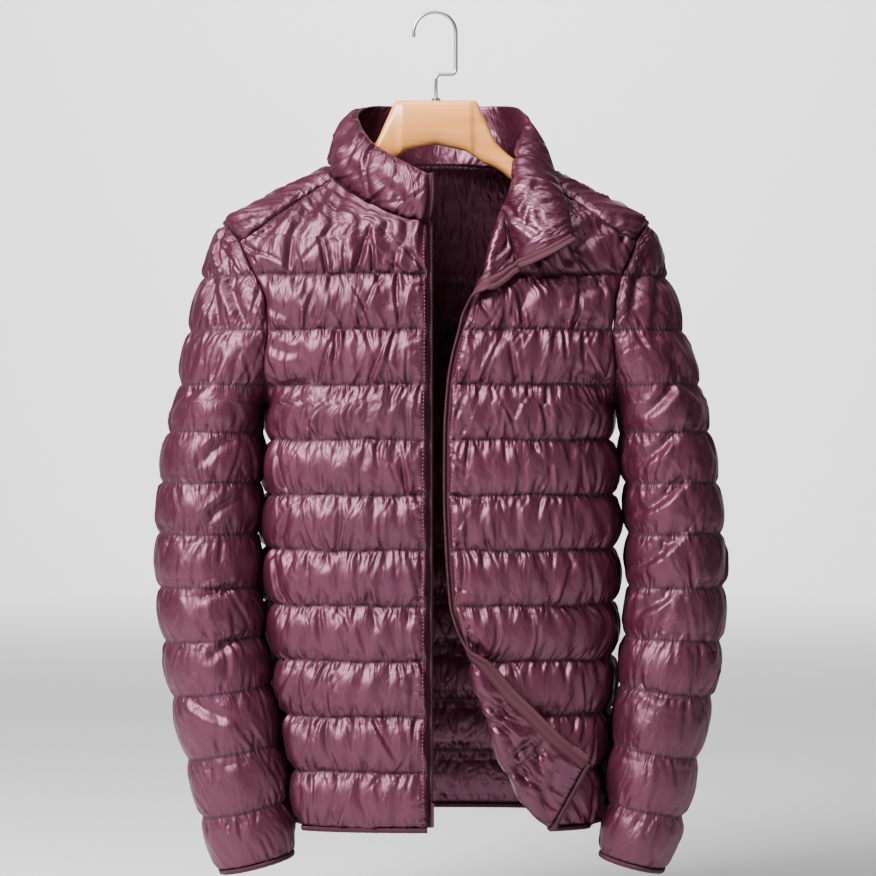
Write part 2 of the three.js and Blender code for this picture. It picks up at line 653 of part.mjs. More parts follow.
// A profile carried along a path with its own frames; a list of points [outward, across]
function sweep(path, profile, closed = false) {
  const rings = path.map(({ origin, u, v, overlap = 100 }) => profile.map(([a, b]) => origin.clone()
    .addScaledVector(u, Math.max(a, -overlap))
    .addScaledVector(v, b)));
  const triangles = [];
  const count = profile.length;
  const last = rings.length - 1;
  for (let i = 0; i < (closed ? last + 1 : last); i += 1) {
    const next = rings[(i + 1) % rings.length];
    for (let j = 0; j < count; j += 1) {
      const k = (j + 1) % count;
      triangles.push(rings[i][j], rings[i][k], next[k], rings[i][j], next[k], next[j]);
    }
  }
  if (!closed) {
    for (let j = 1; j < count - 1; j += 1) {
      triangles.push(rings[0][0], rings[0][j + 1], rings[0][j]);
      triangles.push(rings[last][0], rings[last][j], rings[last][j + 1]);
    }
  }
  return triangles;
}

// Frames along a grid's edge: u points off the edge, v is the outward normal
function edgeFrames(points, inside, normals) {
  return points.map((origin, k) => {
    const along = alongPath(points, k);
    const v = normals[k].clone();
    v.addScaledVector(along, -v.dot(along)).normalize();
    const u = new THREE.Vector3().subVectors(origin, inside[k]);
    u.addScaledVector(along, -u.dot(along)).addScaledVector(v, -u.dot(v)).normalize();
    return { origin: origin.clone(), u, v, along };
  });
}

const HEM_TURN = CLOTH / 2;
const BINDING = { gap: 0.6, height: 5.3, wrap: 2.3 };
const bindingProfile = [
  [BINDING.gap, HEM_TURN - BINDING.wrap],
  [BINDING.height, HEM_TURN - BINDING.wrap * 0.7],
  [BINDING.height, HEM_TURN + BINDING.wrap * 0.7],
  [BINDING.gap, HEM_TURN + BINDING.wrap],
];

function bottomFrames(grid, closed) {
  const columns = grid[0].map((_, j) => j);
  const used = closed ? columns.slice(0, -1) : columns;
  const normals = used.map((j) => gridNormal(grid, 0, j, closed));
  return edgeFrames(used.map((j) => grid[0][j]), used.map((j) => grid[1][j]), normals);
}

function closedFrames(grid) {
  const frames = bottomFrames(grid, true);
  frames[0].u.copy(frames[1].u.clone().add(frames[frames.length - 1].u).normalize());
  frames[0].v.addScaledVector(frames[0].u, -frames[0].v.dot(frames[0].u)).normalize();
  return frames;
}

const hemFrames = [frontLeftGrid, backGrid, frontRightGrid]
  .flatMap((grid, k) => bottomFrames(grid, false).slice(k ? 1 : 0));

// Zip halves: flat tape on the lining side, with the coil's bead beyond the cloth edge
const tapeProfile = [
  [-TAPE.overlap, -TAPE.back], [TAPE_BEYOND, BEAD.back], [TAPE_BEYOND, BEAD.front],
  [BEAD.inner, BEAD.front], [BEAD.inner, -TAPE.front], [-TAPE.overlap, -TAPE.front],
];

function zipFrames(grid, rows, column, inner, collarColumn, collarInner) {
  const edge = rows.map((_, i) => i).filter((i) => rows[i] <= -226 + 1e-6);
  const collarRows = collarPoints.slice(1);
  const points = [...edge.map((i) => grid[i][column]), ...collarRows.map((row) => row[collarColumn])];
  const inside = [...edge.map((i) => grid[i][inner]), ...collarRows.map((row) => row[collarInner])];
  const normals = [
    ...edge.map((i) => gridNormal(grid, i, column, false)),
    ...collarRows.map((_, k) => gridNormal(collarPoints, k + 1, collarColumn, false)),
  ];
  const frames = edgeFrames(points, inside, normals);
  frames.slice(edge.length - 1, edge.length + 1).forEach((frame) => {
    frame.overlap = 1;
    frame.origin.addScaledVector(frame.v, -NECK_STEP);
  });
  return frames;
}

const collarPoints = collarGrid();
const collarLast = neckSeam.length - 1;
const lastColumn = FRONT_COLUMNS;
const tapeRight = zipFrames(frontRightGrid, frontRows, lastColumn, lastColumn - 1, collarLast, collarLast - 1);
const tapeLeft = zipFrames(frontLeftGrid, leftRows, 0, 1, 0, 1);

// Pieces of zip hardware clamp round the bead; lengths run up the tape from its foot
function clampShape(reach, thickness) {
  const clear = SEAM_GAP + 0.1;
  const [front, back, side] = [BEAD.front + clear, BEAD.back - clear, TAPE_BEYOND + clear];
  return new THREE.Shape([
    [side - reach, front], [side, front], [side, back], [side - reach, back],
    [side - reach, back - thickness], [side + thickness, back - thickness],
    [side + thickness, front + thickness], [side - reach, front + thickness],
  ].map(([x, y]) => new THREE.Vector2(x, y)).reverse());
}

function extrude(shape, depth, curveSegments = 6) {
  return new THREE.ExtrudeGeometry(shape, { depth, bevelEnabled: false, curveSegments });
}

function toManifold(geometry) {
  const bare = geometry.clone();
  bare.deleteAttribute('normal');
  bare.deleteAttribute('uv');
  const merged = mergeVertices(bare, 1e-4);
  return new wasm.Manifold(new wasm.Mesh({
    numProp: 3,
    vertProperties: new Float32Array(merged.attributes.position.array),
    triVerts: new Uint32Array(merged.index.array),
  }));
}

function fromManifold(body) {
  const { vertProperties, triVerts } = body.getMesh();
  const geometry = new THREE.BufferGeometry();
  geometry.setAttribute('position', new THREE.BufferAttribute(new Float32Array(vertProperties), 3));
  geometry.setIndex(Array.from(triVerts));
  return geometry;
}

// Foot of the left tape: its frame runs up the tape with u off the edge and v out of the shell side
function footFrame(frames) {
  const up = new THREE.Vector3().subVectors(frames[1].origin, frames[0].origin).normalize();
  const { v } = frames[0];
  const u = frames[0].u.clone().addScaledVector(up, -frames[0].u.dot(up)).normalize();
  const normal = new THREE.Vector3().crossVectors(up, u).normalize();
  if (normal.dot(v) < 0) normal.negate();
  return { origin: frames[0].origin.clone(), u, v: normal, up };
}

const leftFoot = footFrame(tapeLeft);
const rightFoot = footFrame(tapeRight);

// Moves a piece drawn as [u, v, up] to its frame, turning it the right way round
function onFoot(geometry, foot, rise) {
  const basis = new THREE.Matrix4().makeBasis(foot.u, foot.v, foot.up);
  basis.setPosition(foot.origin.clone().addScaledVector(foot.up, rise));
  const moved = geometry.clone().applyMatrix4(basis);
  if (basis.determinant() < 0) {
    const flipped = moved.index ? moved.toNonIndexed() : moved;
    const p = flipped.attributes.position.array;
    for (let k = 0; k < p.length; k += 9) {
      for (let m = 0; m < 3; m += 1) [p[k + 3 + m], p[k + 6 + m]] = [p[k + 6 + m], p[k + 3 + m]];
    }
    return flipped;
  }
  return moved;
}

const CLAMP = 1.1;
const PIN_HEIGHT = BEAD.front + SEAM_GAP + 0.1 + CLAMP + 1.9;
const PIN_RISE = SLIDER_LENGTH * 0.7;
const SLIDER_MIDDLE = TAPE_BEYOND - 1.6;

function sliderBody() {
  const channel = toManifold(extrude(clampShape(4.6, CLAMP), SLIDER_LENGTH));
  const lug = new THREE.BoxGeometry(0.9, 3.2, 3);
  const top = PIN_HEIGHT - 0.6;
  const lugAt = (s) => lug.clone().translate(SLIDER_MIDDLE + s * (PULL_WIDTH / 2 + 0.75), top, PIN_RISE);
  const pin = new THREE.CylinderGeometry(PULL_PIN, PULL_PIN, PULL_WIDTH + 1.6, 12)
    .rotateZ(Math.PI / 2)
    .translate(SLIDER_MIDDLE, PIN_HEIGHT, PIN_RISE);
  const join = (body, piece) => body.add(toManifold(piece));
  return fromManifold([lugAt(-1), lugAt(1), pin].reduce(join, channel));
}

// Pull tab: an eye round the slider's pin, and a flat tab that hangs down the tape
function pullBody() {
  const [eye, hole, thick] = [1.7, PULL_PIN + 0.15, 1.2];
  const shape = new THREE.Shape();
  const meet = Math.asin(thick / 2 / eye);
  shape.absarc(0, 0, eye, -Math.PI / 2 + meet, 1.5 * Math.PI - meet, false);
  shape.lineTo(-thick / 2, -PULL_LENGTH);
  shape.lineTo(thick / 2, -PULL_LENGTH);
  shape.closePath();
  shape.holes.push(new THREE.Path().absarc(0, 0, hole, 0, fullTurn, true));
  const tab = extrude(shape, PULL_WIDTH, 8);
  const [x, y, z] = [new THREE.Vector3(1, 0, 0), new THREE.Vector3(0, 1, 0), new THREE.Vector3(0, 0, 1)];
  const basis = new THREE.Matrix4().makeBasis(y, z, x);
  return tab.applyMatrix4(basis).translate(SLIDER_MIDDLE - PULL_WIDTH / 2, PIN_HEIGHT, PIN_RISE);
}

export const pullHinge = {
  anchor: leftFoot.origin.clone()
    .addScaledVector(leftFoot.u, SLIDER_MIDDLE)
    .addScaledVector(leftFoot.v, PIN_HEIGHT)
    .addScaledVector(leftFoot.up, BOX_LENGTH + 1 + PIN_RISE),
  axis: leftFoot.u.clone(),
  outward: leftFoot.v.clone(),
  up: leftFoot.up.clone(),
};

// Hanger: rounded sections whose top follows the shoulders from the inside
function hangerTriangles() {
  const round = 14;
  const SECTION_POWER = 2.6;
  const right = [...HANGER].reverse().map((row) => ({ ...row, x: -row.x }));
  const sections = [...right.slice(0, -1), ...HANGER];
  const rings = sections.map(({ x, top, bottom, y, halfDepth }) => {
    const half = (top - bottom) / 2;
    const middle = (top + bottom) / 2;
    return Array.from({ length: round }, (_, k) => {
      const turn = (fullTurn * (k + 0.5)) / round;
      const [c, s] = [Math.cos(turn), Math.sin(turn)];
      const grow = (Math.abs(c) ** SECTION_POWER + Math.abs(s) ** SECTION_POWER) ** (-1 / SECTION_POWER);
      return new THREE.Vector3(x, y + halfDepth * c * grow, middle + half * s * grow);
    });
  });
  return loft(rings);
}

function loft(rings) {
  const triangles = [];
  const count = rings[0].length;
  for (let i = 0; i < rings.length - 1; i += 1) {
    for (let j = 0; j < count; j += 1) {
      const k = (j + 1) % count;
      const [low, high] = [rings[i], rings[i + 1]];
      triangles.push(low[j], low[k], high[k], low[j], high[k], high[j]);
    }
  }
  for (let j = 1; j < count - 1; j += 1) {
    triangles.push(rings[0][0], rings[0][j + 1], rings[0][j]);
    const end = rings[rings.length - 1];
    triangles.push(end[0], end[j], end[j + 1]);
  }
  return triangles;
}

// Hook wire: a crown arc, a straight side, an offset bend and the shank in the wood
function hookPath() {
  const centre = [-1.2, WIRE_RADIUS - HOOK_RADIUS];
  const points = [];
  const arc = (x, z, radius, from, to, steps) => {
    for (let k = 0; k <= steps; k += 1) {
      const turn = lerp(from, to, k / steps);
      points.push(new THREE.Vector3(x + radius * Math.cos(turn), 0, z + radius * Math.sin(turn)));
    }
  };
  arc(centre[0], centre[1], HOOK_RADIUS, Math.PI * 1.06, 0, 22);
  arc(centre[0] + HOOK_RADIUS - HOOK_BEND, HOOK_DROP, HOOK_BEND, 0, -Math.PI / 2, 5);
  arc(HOOK_BEND, HOOK_DROP - 2 * HOOK_BEND, HOOK_BEND, Math.PI / 2, Math.PI, 5);
  points.push(new THREE.Vector3(0, 0, SHANK_END));
  return points;
}

function wireTriangles(points, radius, sides) {
  const y = new THREE.Vector3(0, 1, 0);
  const rings = points.map((p, k) => {
    const along = alongPath(points, k);
    const u = new THREE.Vector3().crossVectors(y, along);
    return Array.from({ length: sides }, (_, m) => {
      const turn = (fullTurn * m) / sides;
      return p.clone()
        .addScaledVector(u, radius * Math.cos(turn))
        .addScaledVector(y, radius * Math.sin(turn));
    });
  });
  return loft(rings.map((ring) => ring.reverse()));
}

// Turns a closed mesh the right way round if its volume comes out negative
function faceOut(geometry) {
  const flat = geometry.index ? geometry.toNonIndexed() : geometry;
  const p = flat.attributes.position;
  let volume = 0;
  const [a, b, c] = [new THREE.Vector3(), new THREE.Vector3(), new THREE.Vector3()];
  for (let k = 0; k < p.count; k += 3) {
    a.fromBufferAttribute(p, k);
    b.fromBufferAttribute(p, k + 1);
    c.fromBufferAttribute(p, k + 2);
    volume += a.dot(b.cross(c));
  }
  if (volume >= 0) return geometry;
  const turned = geometry.clone();
  const index = turned.index ? Array.from(turned.index.array) : Array.from({ length: p.count }, (_, k) => k);
  for (let k = 0; k < index.length; k += 3) [index[k + 1], index[k + 2]] = [index[k + 2], index[k + 1]];
  turned.setIndex(index);
  return turned;
}

// Materials
function finish(color, roughness, metalness = 0) {
  return new THREE.MeshStandardMaterial({ color, roughness, metalness });
}
const nylon = finish(0x7a3d58, 0.35);
const binding = finish(0x4a1f33, 0.7);
const tape = finish(0x5a3a44, 0.6);
const zipMetal = finish(0x6b5058, 0.4, 0.6);
const wood = finish(0xe0a878, 0.45);
const steel = finish(0xb8babd, 0.3, 1);

const jacket = new THREE.Group();
function add(name, geometry, material) {
  const mesh = new THREE.Mesh(faceOut(geometry), material);
  mesh.name = name;
  jacket.add(mesh);
}

const frontKeep = (rows) => (i) => isLine(rows[i]) || rows[i] > FIRST_LINE - CHANNEL;
const sideFade = (steps, point) => (steps < 4 ? pitFade(point) : 1);
const rightRise = (i, j) => {
  if (j === 0 || j === FRONT_COLUMNS || i === frontRows.length - 1) return 0;
  const point = frontRightGrid[i][j];
  return frontPuff(point, frontRows[i]) * sideFade(j, point);
};
add('front_right', solid(wall(frontRightGrid, rightRise, frontKeep(frontRows))), nylon);

const leftLast = frontLeftGrid[0].length - 1;
const leftRise = (i, j) => {
  const z = leftRows[i];
  if (j === 0 || j === leftLast || i === leftRows.length - 1) return 0;
  const point = frontLeftGrid[i][j];
  const underCollar = smooth((z + 262) / 30) * smooth((130 - point.x) / 30);
  const full = frontPuff(point, z) * sideFade(leftLast - j, point) * lerp(1, 0.25, underCollar);
  return j <= TURNED_COLUMNS + ROLL_COLUMNS + 1 ? Math.min(full, TURNED_PUFF) : full;
};
add('front_left', solid(wall(frontLeftGrid, leftRise, frontKeep(leftRows))), nylon);
add('back', solid(backTriangles()), nylon);

for (const side of ['right', 'left']) {
  const { triangles, grid } = sleeveTriangles(side);
  add(`sleeve_${side}`, solid(triangles), nylon);
  add(`cuff_binding_${side}`, solid(sweep(closedFrames(grid), bindingProfile, true)), binding);
}

const collarRise = (i, j) => {
  if (j === 0 || j === collarLast || i === 0 || i === collarPoints.length - 1) return 0;
  return collarPoints[i][j].x > 60 && collarPoints[i][j].y < 0 ? TURNED_PUFF : COLLAR_PUFF;
};
add('collar', solid(wall(collarPoints, collarRise, () => true)), nylon);
add('hem_binding', solid(sweep(hemFrames, bindingProfile)), binding);
add('zip_tape_right', solid(sweep(tapeRight, tapeProfile)), tape);
add('zip_tape_left', solid(sweep(tapeLeft, tapeProfile)), tape);
add('zip_pin', onFoot(extrude(clampShape(2, 0.8), 2 * SLIDER_LENGTH), rightFoot, 1), zipMetal);
add('zip_box', onFoot(extrude(clampShape(4, CLAMP), BOX_LENGTH), leftFoot, 0.5), zipMetal);
add('zip_slider', onFoot(sliderBody(), leftFoot, BOX_LENGTH + 1), zipMetal);
add('zip_pull', onFoot(pullBody(), leftFoot, BOX_LENGTH + 1), zipMetal);

const HOLE_LENGTH = 60;
const HOLE_RADIUS = WIRE_RADIUS + SEAM_GAP;
const wireHole = new THREE.CylinderGeometry(HOLE_RADIUS, HOLE_RADIUS, HOLE_LENGTH, 16)
  .rotateX(Math.PI / 2)
  .translate(0, 0, SHANK_END - SEAM_GAP + HOLE_LENGTH / 2);
const woodBody = toManifold(faceOut(solid(hangerTriangles())));
add('hanger', fromManifold(woodBody.subtract(toManifold(wireHole))), wood);
add('hanger_hook', solid(wireTriangles(hookPath(), WIRE_RADIUS, 10)), steel);

const ferrule = new THREE.LatheGeometry([
  [2.1, 0], [4.6, 0], [4.6, 1.4], [3.2, 2.6], [2.1, 2.6], [2.1, 0],
].map(([x, y]) => new THREE.Vector2(x, y)), 20)
  .rotateX(Math.PI / 2)
  .translate(0, 0, HANGER[0].top + SEAM_GAP);
ferrule.deleteAttribute('normal');
ferrule.deleteAttribute('uv');
add('hook_ferrule', mergeVertices(ferrule, 1e-4), steel);

export default jacket;
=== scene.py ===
"""Looks of a quilted puffer jacket on a wooden hanger. Lengths are in millimetres until a mesh is made."""
import itertools

import bpy
import numpy as np
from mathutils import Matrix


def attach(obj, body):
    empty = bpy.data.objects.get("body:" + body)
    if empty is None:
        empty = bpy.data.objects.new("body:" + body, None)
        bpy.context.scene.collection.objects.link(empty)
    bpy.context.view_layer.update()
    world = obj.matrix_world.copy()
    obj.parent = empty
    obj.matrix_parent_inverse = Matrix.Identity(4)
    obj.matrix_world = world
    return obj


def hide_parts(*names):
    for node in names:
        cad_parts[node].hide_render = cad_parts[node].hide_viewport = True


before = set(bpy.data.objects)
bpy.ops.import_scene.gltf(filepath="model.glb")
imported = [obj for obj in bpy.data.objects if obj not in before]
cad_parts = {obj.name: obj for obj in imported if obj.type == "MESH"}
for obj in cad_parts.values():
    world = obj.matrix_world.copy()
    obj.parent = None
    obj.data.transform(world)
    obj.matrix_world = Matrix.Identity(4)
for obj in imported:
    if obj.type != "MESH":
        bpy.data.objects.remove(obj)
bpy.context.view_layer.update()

# Driving dimensions, the same as the solids'
CLOTH = 1.5
PUFF = 9.5
SLEEVE_PUFF = 5.6
YOKE_PUFF = 6.5
COLLAR_PUFF = 7.0
TURNED_PUFF = 4.5
CHANNEL = 55.7
FIRST_LINE = -276
CHANNELS = 10
TIP = -219.4
TIP_HALF_WIDTH = 217
NECK_POINT = -162
NECK_HALF_WIDTH = 107
PIT = -408
ARMHOLE_HALF = (TIP - PIT) / 2
ARMHOLE_MIDDLE = (TIP + PIT) / 2
ARMHOLE_DEPTH = {"front": 72, "back": 74}
ZIP_EDGE = 8.5
ROLL = 9
SLEEVE_CLEARANCE = 19
COLLAR_FOOT = 0.8
CORNER_LIFT = 8
CORNER_RUN = 80
GAP_ANGLE = 0.3 / 2 / 180
FRONT_CORNER = -240
FULL_TURN = 2 * np.pi

# Fineness of the surfaces
CHANNEL_ROWS = 30
FRONT_COLUMNS = 160
BACK_COLUMNS = 200
SLEEVE_COLUMNS = 184
YOKE_COLUMNS = 37


def table(names, rows):
    """Columns of a table by name; the first column is the key."""
    values = np.array(rows, float)
    return {name: values[:, k] for k, name in enumerate(names)}


TORSO = table(["z", "front", "back", "power"], [
    [-833, 104, 100, 2.8], [-600, 106, 102, 2.8], [-440, 105, 101, 2.7], [-330, 102, 97, 2.6],
    [-276, 98, 92, 2.5], [-240, 92, 88, 2.4], [-226, 89, 86, 2.3], [-205, 68, 83, 2.1],
    [-190, 53, 80, 2.0], [-162, 41, 76, 2.0], [-150, 36, 71, 2.0],
])
SIDE = {
    "right": table(["z", "half", "seamY"], [
        [-833, 177, 0], [-600, 178, 0], [-500, 178, 0], [-450, 178, -4], [PIT, 176, -14],
    ]),
    "left": table(["z", "half", "seamY"], [
        [-833, 178, 0], [-600, 182, 0], [-500, 184, 0], [-450, 184, -4], [PIT, 184, -14],
    ]),
}
ARMHOLE = {
    "right": table(["z", "front", "back"], [
        [PIT, 176, 176], [-360, 172, 178], [-332, 170, 182], [-304, 171, 187], [-270, 186, 198],
        [-240, 200, 208], [TIP, 217, 217],
    ]),
    "left": table(["z", "front", "back"], [
        [PIT, 184, 184], [-360, 180, 184], [-334, 178.5, 186], [-304, 180, 190], [-276, 188, 199],
        [-240, 204, 209], [TIP, 217, 217],
    ]),
}
SLEEVE = {
    "right": table(["z", "outer", "inner", "middleY", "halfDepth"], [
        [-885, 217, 143.5, -66, 37], [-828, 235, 151.5, -62, 44], [-769, 250.5, 158.5, -57, 49],
        [-705, 266, 169.5, -50, 53], [-649, 275, 178.5, -43, 56], [-597, 281, 183.5, -38, 58],
        [-540, 283, 185, -31, 60], [-484, 280, 182.5, -25, 63], [-443, 275, 180.5, -18, 68],
        [PIT, 266, 179.3, -14, 72], [-382, 261, 179, -12, 72], [-331, 252.5, 179, -9, 72],
        [-300, 245, 179, -8, 72], [-260, 233, 179, -6, 72], [-232, 223.5, 179, -5, 72], [TIP, 217, 179, -4, 72],
    ]),
    "left": table(["z", "outer", "inner", "middleY", "halfDepth"], [
        [-885, 229, 161.5, -66, 35], [-843, 244, 173.5, -62, 43], [-802, 255.5, 178.5, -58, 47],
        [-751, 268, 183.5, -55, 50], [-700, 280, 189.5, -49, 53], [-649, 288.5, 195.5, -43, 56],
        [-590, 292.5, 200, -37, 58], [-525, 290.5, 199.5, -29, 61], [-484, 286.5, 196.5, -25, 63],
        [-443, 280.5, 192.5, -18, 68], [PIT, 273, 187.3, -14, 72], [-382, 267, 187, -12, 72],
        [-331, 253.5, 187, -9, 72], [-300, 244.5, 187, -8, 72], [-260, 231, 187, -6, 72],
        [-232, 223.5, 187, -5, 72], [TIP, 217, 187, -4, 72],
    ]),
}
SLEEVE_LINES = [
    [-870, 14], [-818, 11.5], [-760, 10], [-699, 7], [-646, 3], [-593, 0], [-539, 0], [-487, 0], [-435, 0],
    [-387.4, 0], [-331.7, 0], [-276, 0], [-223.6, 0],
]
LEFT_EDGE = table(["z", "foldX", "zipX", "zipZ", "turn"], [
    [-833, 112, 148.8, -764, 180], [-800, 86, 126, -746, 180], [-777, 72, 112, -733, 180],
    [-750, 61, 93, -714, 180], [-721, 52, 76, -697, 180], [-694, 43, 60, -677, 175],
    [-666, 35, 46, -654, 140], [-645, 28, 32, -641, 80], [-625, 22.5, 24, -625, 35],
    [-608, 18.5, 18.5, -608, 0], [-554, 14.5, 14.5, -554, 0], [-498, 12.5, 12.5, -498, 0],
    [-443, 12.7, 12.7, -443, 0], [-387, 16, 16, -387, 0], [-360, 20.5, 20.5, -360, 0],
    [-331, 28, 28, -331, 0], [-315, 32, 34, -315, 40], [-298, 37.5, 41, -302, 90],
    [-287, 43, 48, -297, 140], [-276, 47.5, 53.5, -292, 170], [-264, 49.5, 61, -286, 180],
    [-252, 51.5, 67.5, -281, 180], [-240, 55, 73, -275.5, 180], [-226, 60, 78.4, -270.8, 180],
    [-221, 61.2, 75, -255, 180], [-216, 62.6, 71, -238, 180], [-210, 64.3, 67.5, -219, 120],
    [-205, 69, 69, -205, 0], [-192, 88, 88, -192, 0], [-174, 102, 102, -174, 0],
])
NECK_SEAM = table(["z", "x"], [[-226, ZIP_EDGE], [-218, 38], [-210, 58], [-192, 86], [-174, 105]])
SHOULDER_SEAM = table(["z", "x"], [[-240, 195], [-174, 106]])
COLLAR = table(["share", "midX", "midY", "midZ", "topX", "topY", "topZ"], [
    [0, -7, -98, -200, -8, -97, -175], [0.1, -41, -84, -185, -40, -76, -157],
    [0.2, -78, -55, -160, -63, -48, -141], [0.26, -95, -32, -144, -76, -18, -122],
    [0.3, -99, -6, -133, -81, 8, -107], [0.36, -92, 28, -125, -75, 38, -95],
    [0.42, -66, 60, -121, -56, 62, -89], [0.5, 0, 80, -120, 0, 78, -88],
    [0.575, 64, 62, -121, 57, 64, -89], [0.63, 86, 34, -123, 82, 36, -93],
    [0.68, 92, 4, -130, 96, 6, -108], [0.74, 86, -32, -143, 114, -26, -140],
    [0.8, 84, -64, -165, 124, -60, -176], [0.88, 94, -100, -206, 134, -94, -208],
    [1, 110, -127, -256, 137, -118, -241],
])
HANGER = table(["x", "top", "bottom", "y", "halfDepth"], [
    [0, -90.5, -136, -1.2, 10.5], [30, -90.5, -143, -1.2, 10.5], [34.4, -90.5, -145, -1.2, 10.5],
    [35.6, -90.5, -146, -1, 10.4], [40.5, -90.5, -149, 0.6, 10], [50, -107, -155, 2.2, 11],
    [63, -134, -161, 3.2, 12.6], [82, -151.5, -175, 4, 15], [104, -165, -190, 6, 16], [140, -182, -206, 6, 16],
    [175, -199.5, -221, 5, 16], [203, -214, -231, 3, 14],
])
WIRE_RADIUS = 1.8
HOOK_RADIUS = 22
HOOK_DROP = -58
HOOK_BEND = 5
SHANK_END = -112
TAPE_BEYOND = 5.5


def at(rows, column, value, key=None):
    """Value of a column where the key column has a value, on smooth cubics that do not overshoot."""
    key = key or next(iter(rows))
    order = np.argsort(rows[key])
    x, y = rows[key][order], rows[column][order]
    slope = np.diff(y) / np.diff(x)
    before, after = slope[:-1], slope[1:]
    total = np.where(before + after == 0, 1, before + after)
    inside = np.where(before * after <= 0, 0, 2 * before * after / total)
    tangent = np.concatenate([slope[:1], inside, slope[-1:]])
    t = np.clip(value, x[0], x[-1])
    k = np.clip(np.searchsorted(x, t, side="right") - 1, 0, len(x) - 2)
    step = x[k + 1] - x[k]
    s = (t - x[k]) / step
    a, b, da, db = y[k], y[k + 1], tangent[k] * step, tangent[k + 1] * step
    return a + s * (da + s * (3 * (b - a) - 2 * da - db + s * (2 * (a - b) + da + db)))


def lerp(a, b, t):
    return a + (b - a) * t


def smooth(t):
    s = np.clip(t, 0, 1)
    return s * s * (3 - 2 * s)


def points(x, y, z):
    return np.stack(np.broadcast_arrays(x, y, z), -1).astype(float)


def unit(v):
    return v / (np.linalg.norm(v, axis=-1, keepdims=True) + 1e-9)


# Body form
def armhole_share(z):
    return np.clip((z - ARMHOLE_MIDDLE) / ARMHOLE_HALF, -1, 1)


def armhole_point(side, half, z):
    swing = ARMHOLE_DEPTH[half] * np.sqrt(1 - armhole_share(z) ** 2)
    return at(ARMHOLE[side], half, z), at(SLEEVE[side], "middleY", z) + (-swing if half == "front" else swing)


def ring_half_width(side, half, z):
    x, y = armhole_point(side, half, z)
    power = at(TORSO, "power", z)
    share = np.clip(np.abs(y) / at(TORSO, half, z), 0, 0.98)
    between = x / (1 - share ** power) ** (1 / power)
    above = lerp(TIP_HALF_WIDTH, NECK_HALF_WIDTH, (z - TIP) / (NECK_POINT - TIP))
    return np.where(z >= TIP, above, np.where(z <= PIT, at(SIDE[side], "half", z), between))


def sleeve_limit(side, y, z):
    outer, inner = at(SLEEVE[side], "outer", z), at(SLEEVE[side], "inner", z)
    clear = SLEEVE_CLEARANCE * smooth((PIT - z) / 30)
    off = (y - at(SLEEVE[side], "middleY", z)) / (at(SLEEVE[side], "halfDepth", z) + clear)
    bulge = np.sqrt(np.clip(1 - off * off, 0, 1))
    return np.where(np.abs(off) >= 1, outer, (outer + inner) / 2 - ((outer - inner) / 2 + clear) * bulge)


def torso(angle, z):
    """Body form: a superellipse ring at each height, by the angle from straight ahead towards +X, pressed in
    beside the sleeves."""
    angle, z = np.broadcast_arrays(np.asarray(angle, float), np.asarray(z, float))
    right, ahead = np.sin(angle) < 0, np.cos(angle) > 0
    half_width = np.where(
        right,
        np.where(ahead, ring_half_width("right", "front", z), ring_half_width("right", "back", z)),
        np.where(ahead, ring_half_width("left", "front", z), ring_half_width("left", "back", z)),
    )
    depth = np.where(ahead, at(TORSO, "front", z), at(TORSO, "back", z))
    power = at(TORSO, "power", z)
    across, along = np.abs(np.sin(angle)) / half_width, np.abs(np.cos(angle)) / depth
    radius = (across ** power + along ** power) ** (-1 / power)
    y = -radius * np.cos(angle)
    x = radius * np.abs(np.sin(angle))
    limit = np.where(right, sleeve_limit("right", y, z), sleeve_limit("left", y, z))
    pressed = x - 3 * np.log1p(np.exp(np.clip((x - limit) / 3, -30, 30)))
    x = lerp(x, pressed, smooth((PIT - z) / 14))
    return points(np.where(right, -x, x), y, z)


def front_angle(side, x, z):
    power = at(TORSO, "power", z)
    share = np.clip(x / ring_half_width(side, "front", z), 0, 0.9999)
    y = at(TORSO, "front", z) * (1 - share ** power) ** (1 / power)
    return np.arctan2(x, y) * (-1 if side == "right" else 1)


def armhole_angle(side, half, z):
    x, y = armhole_point(side, half, z)
    return np.arctan2(x, -y) * (-1 if side == "right" else 1)


def side_angle(side, half, z):
    low = np.arctan2(at(SIDE[side], "half", z), -at(SIDE[side], "seamY", z)) * (-1 if side == "right" else 1)
    return np.where(z > PIT, armhole_angle(side, half, z), low)


def front_outer_angle(side, z):
    seam = front_angle(side, at(SHOULDER_SEAM, "x", z), z)
    return np.where(z > FRONT_CORNER, seam, side_angle(side, "front", z))


def front_top(x):
    """Height of the front's top edge, by the distance from the middle."""
    neck = at(NECK_SEAM, "z", np.clip(x, ZIP_EDGE, 105), "x")
    seam = at(SHOULDER_SEAM, "z", np.clip(x, 106, 195), "x")
    return np.where(x < 105.5, neck, seam)


def even(lines, count):
    """Points spread evenly along each of a stack of lines, and their run along it."""
    step = np.linalg.norm(np.diff(lines, axis=1), axis=2)
    run = np.concatenate([np.zeros((len(lines), 1)), np.cumsum(step, 1)], 1)
    share = np.linspace(0, 1, count + 1)
    spread = run[:, -1:] * share
    grid = np.empty((len(lines), count + 1, 3))
    for k, line in enumerate(lines):
        for m in range(3):
            grid[k, :, m] = np.interp(spread[k], run[k], line[:, m])
    return grid, spread


def directions(grid, closed=0):
    """Unit vectors across, up and out of a grid; its first rows may be closed rings."""
    across = np.gradient(grid, axis=1)
    if closed:
        seam = grid[:closed, 1] - grid[:closed, -2]
        across[:closed, 0] = across[:closed, -1] = seam / 2
    up = np.gradient(grid, axis=0)
    across, up = unit(across), unit(up)
    out = unit(np.cross(across, up))
    return across, up, out


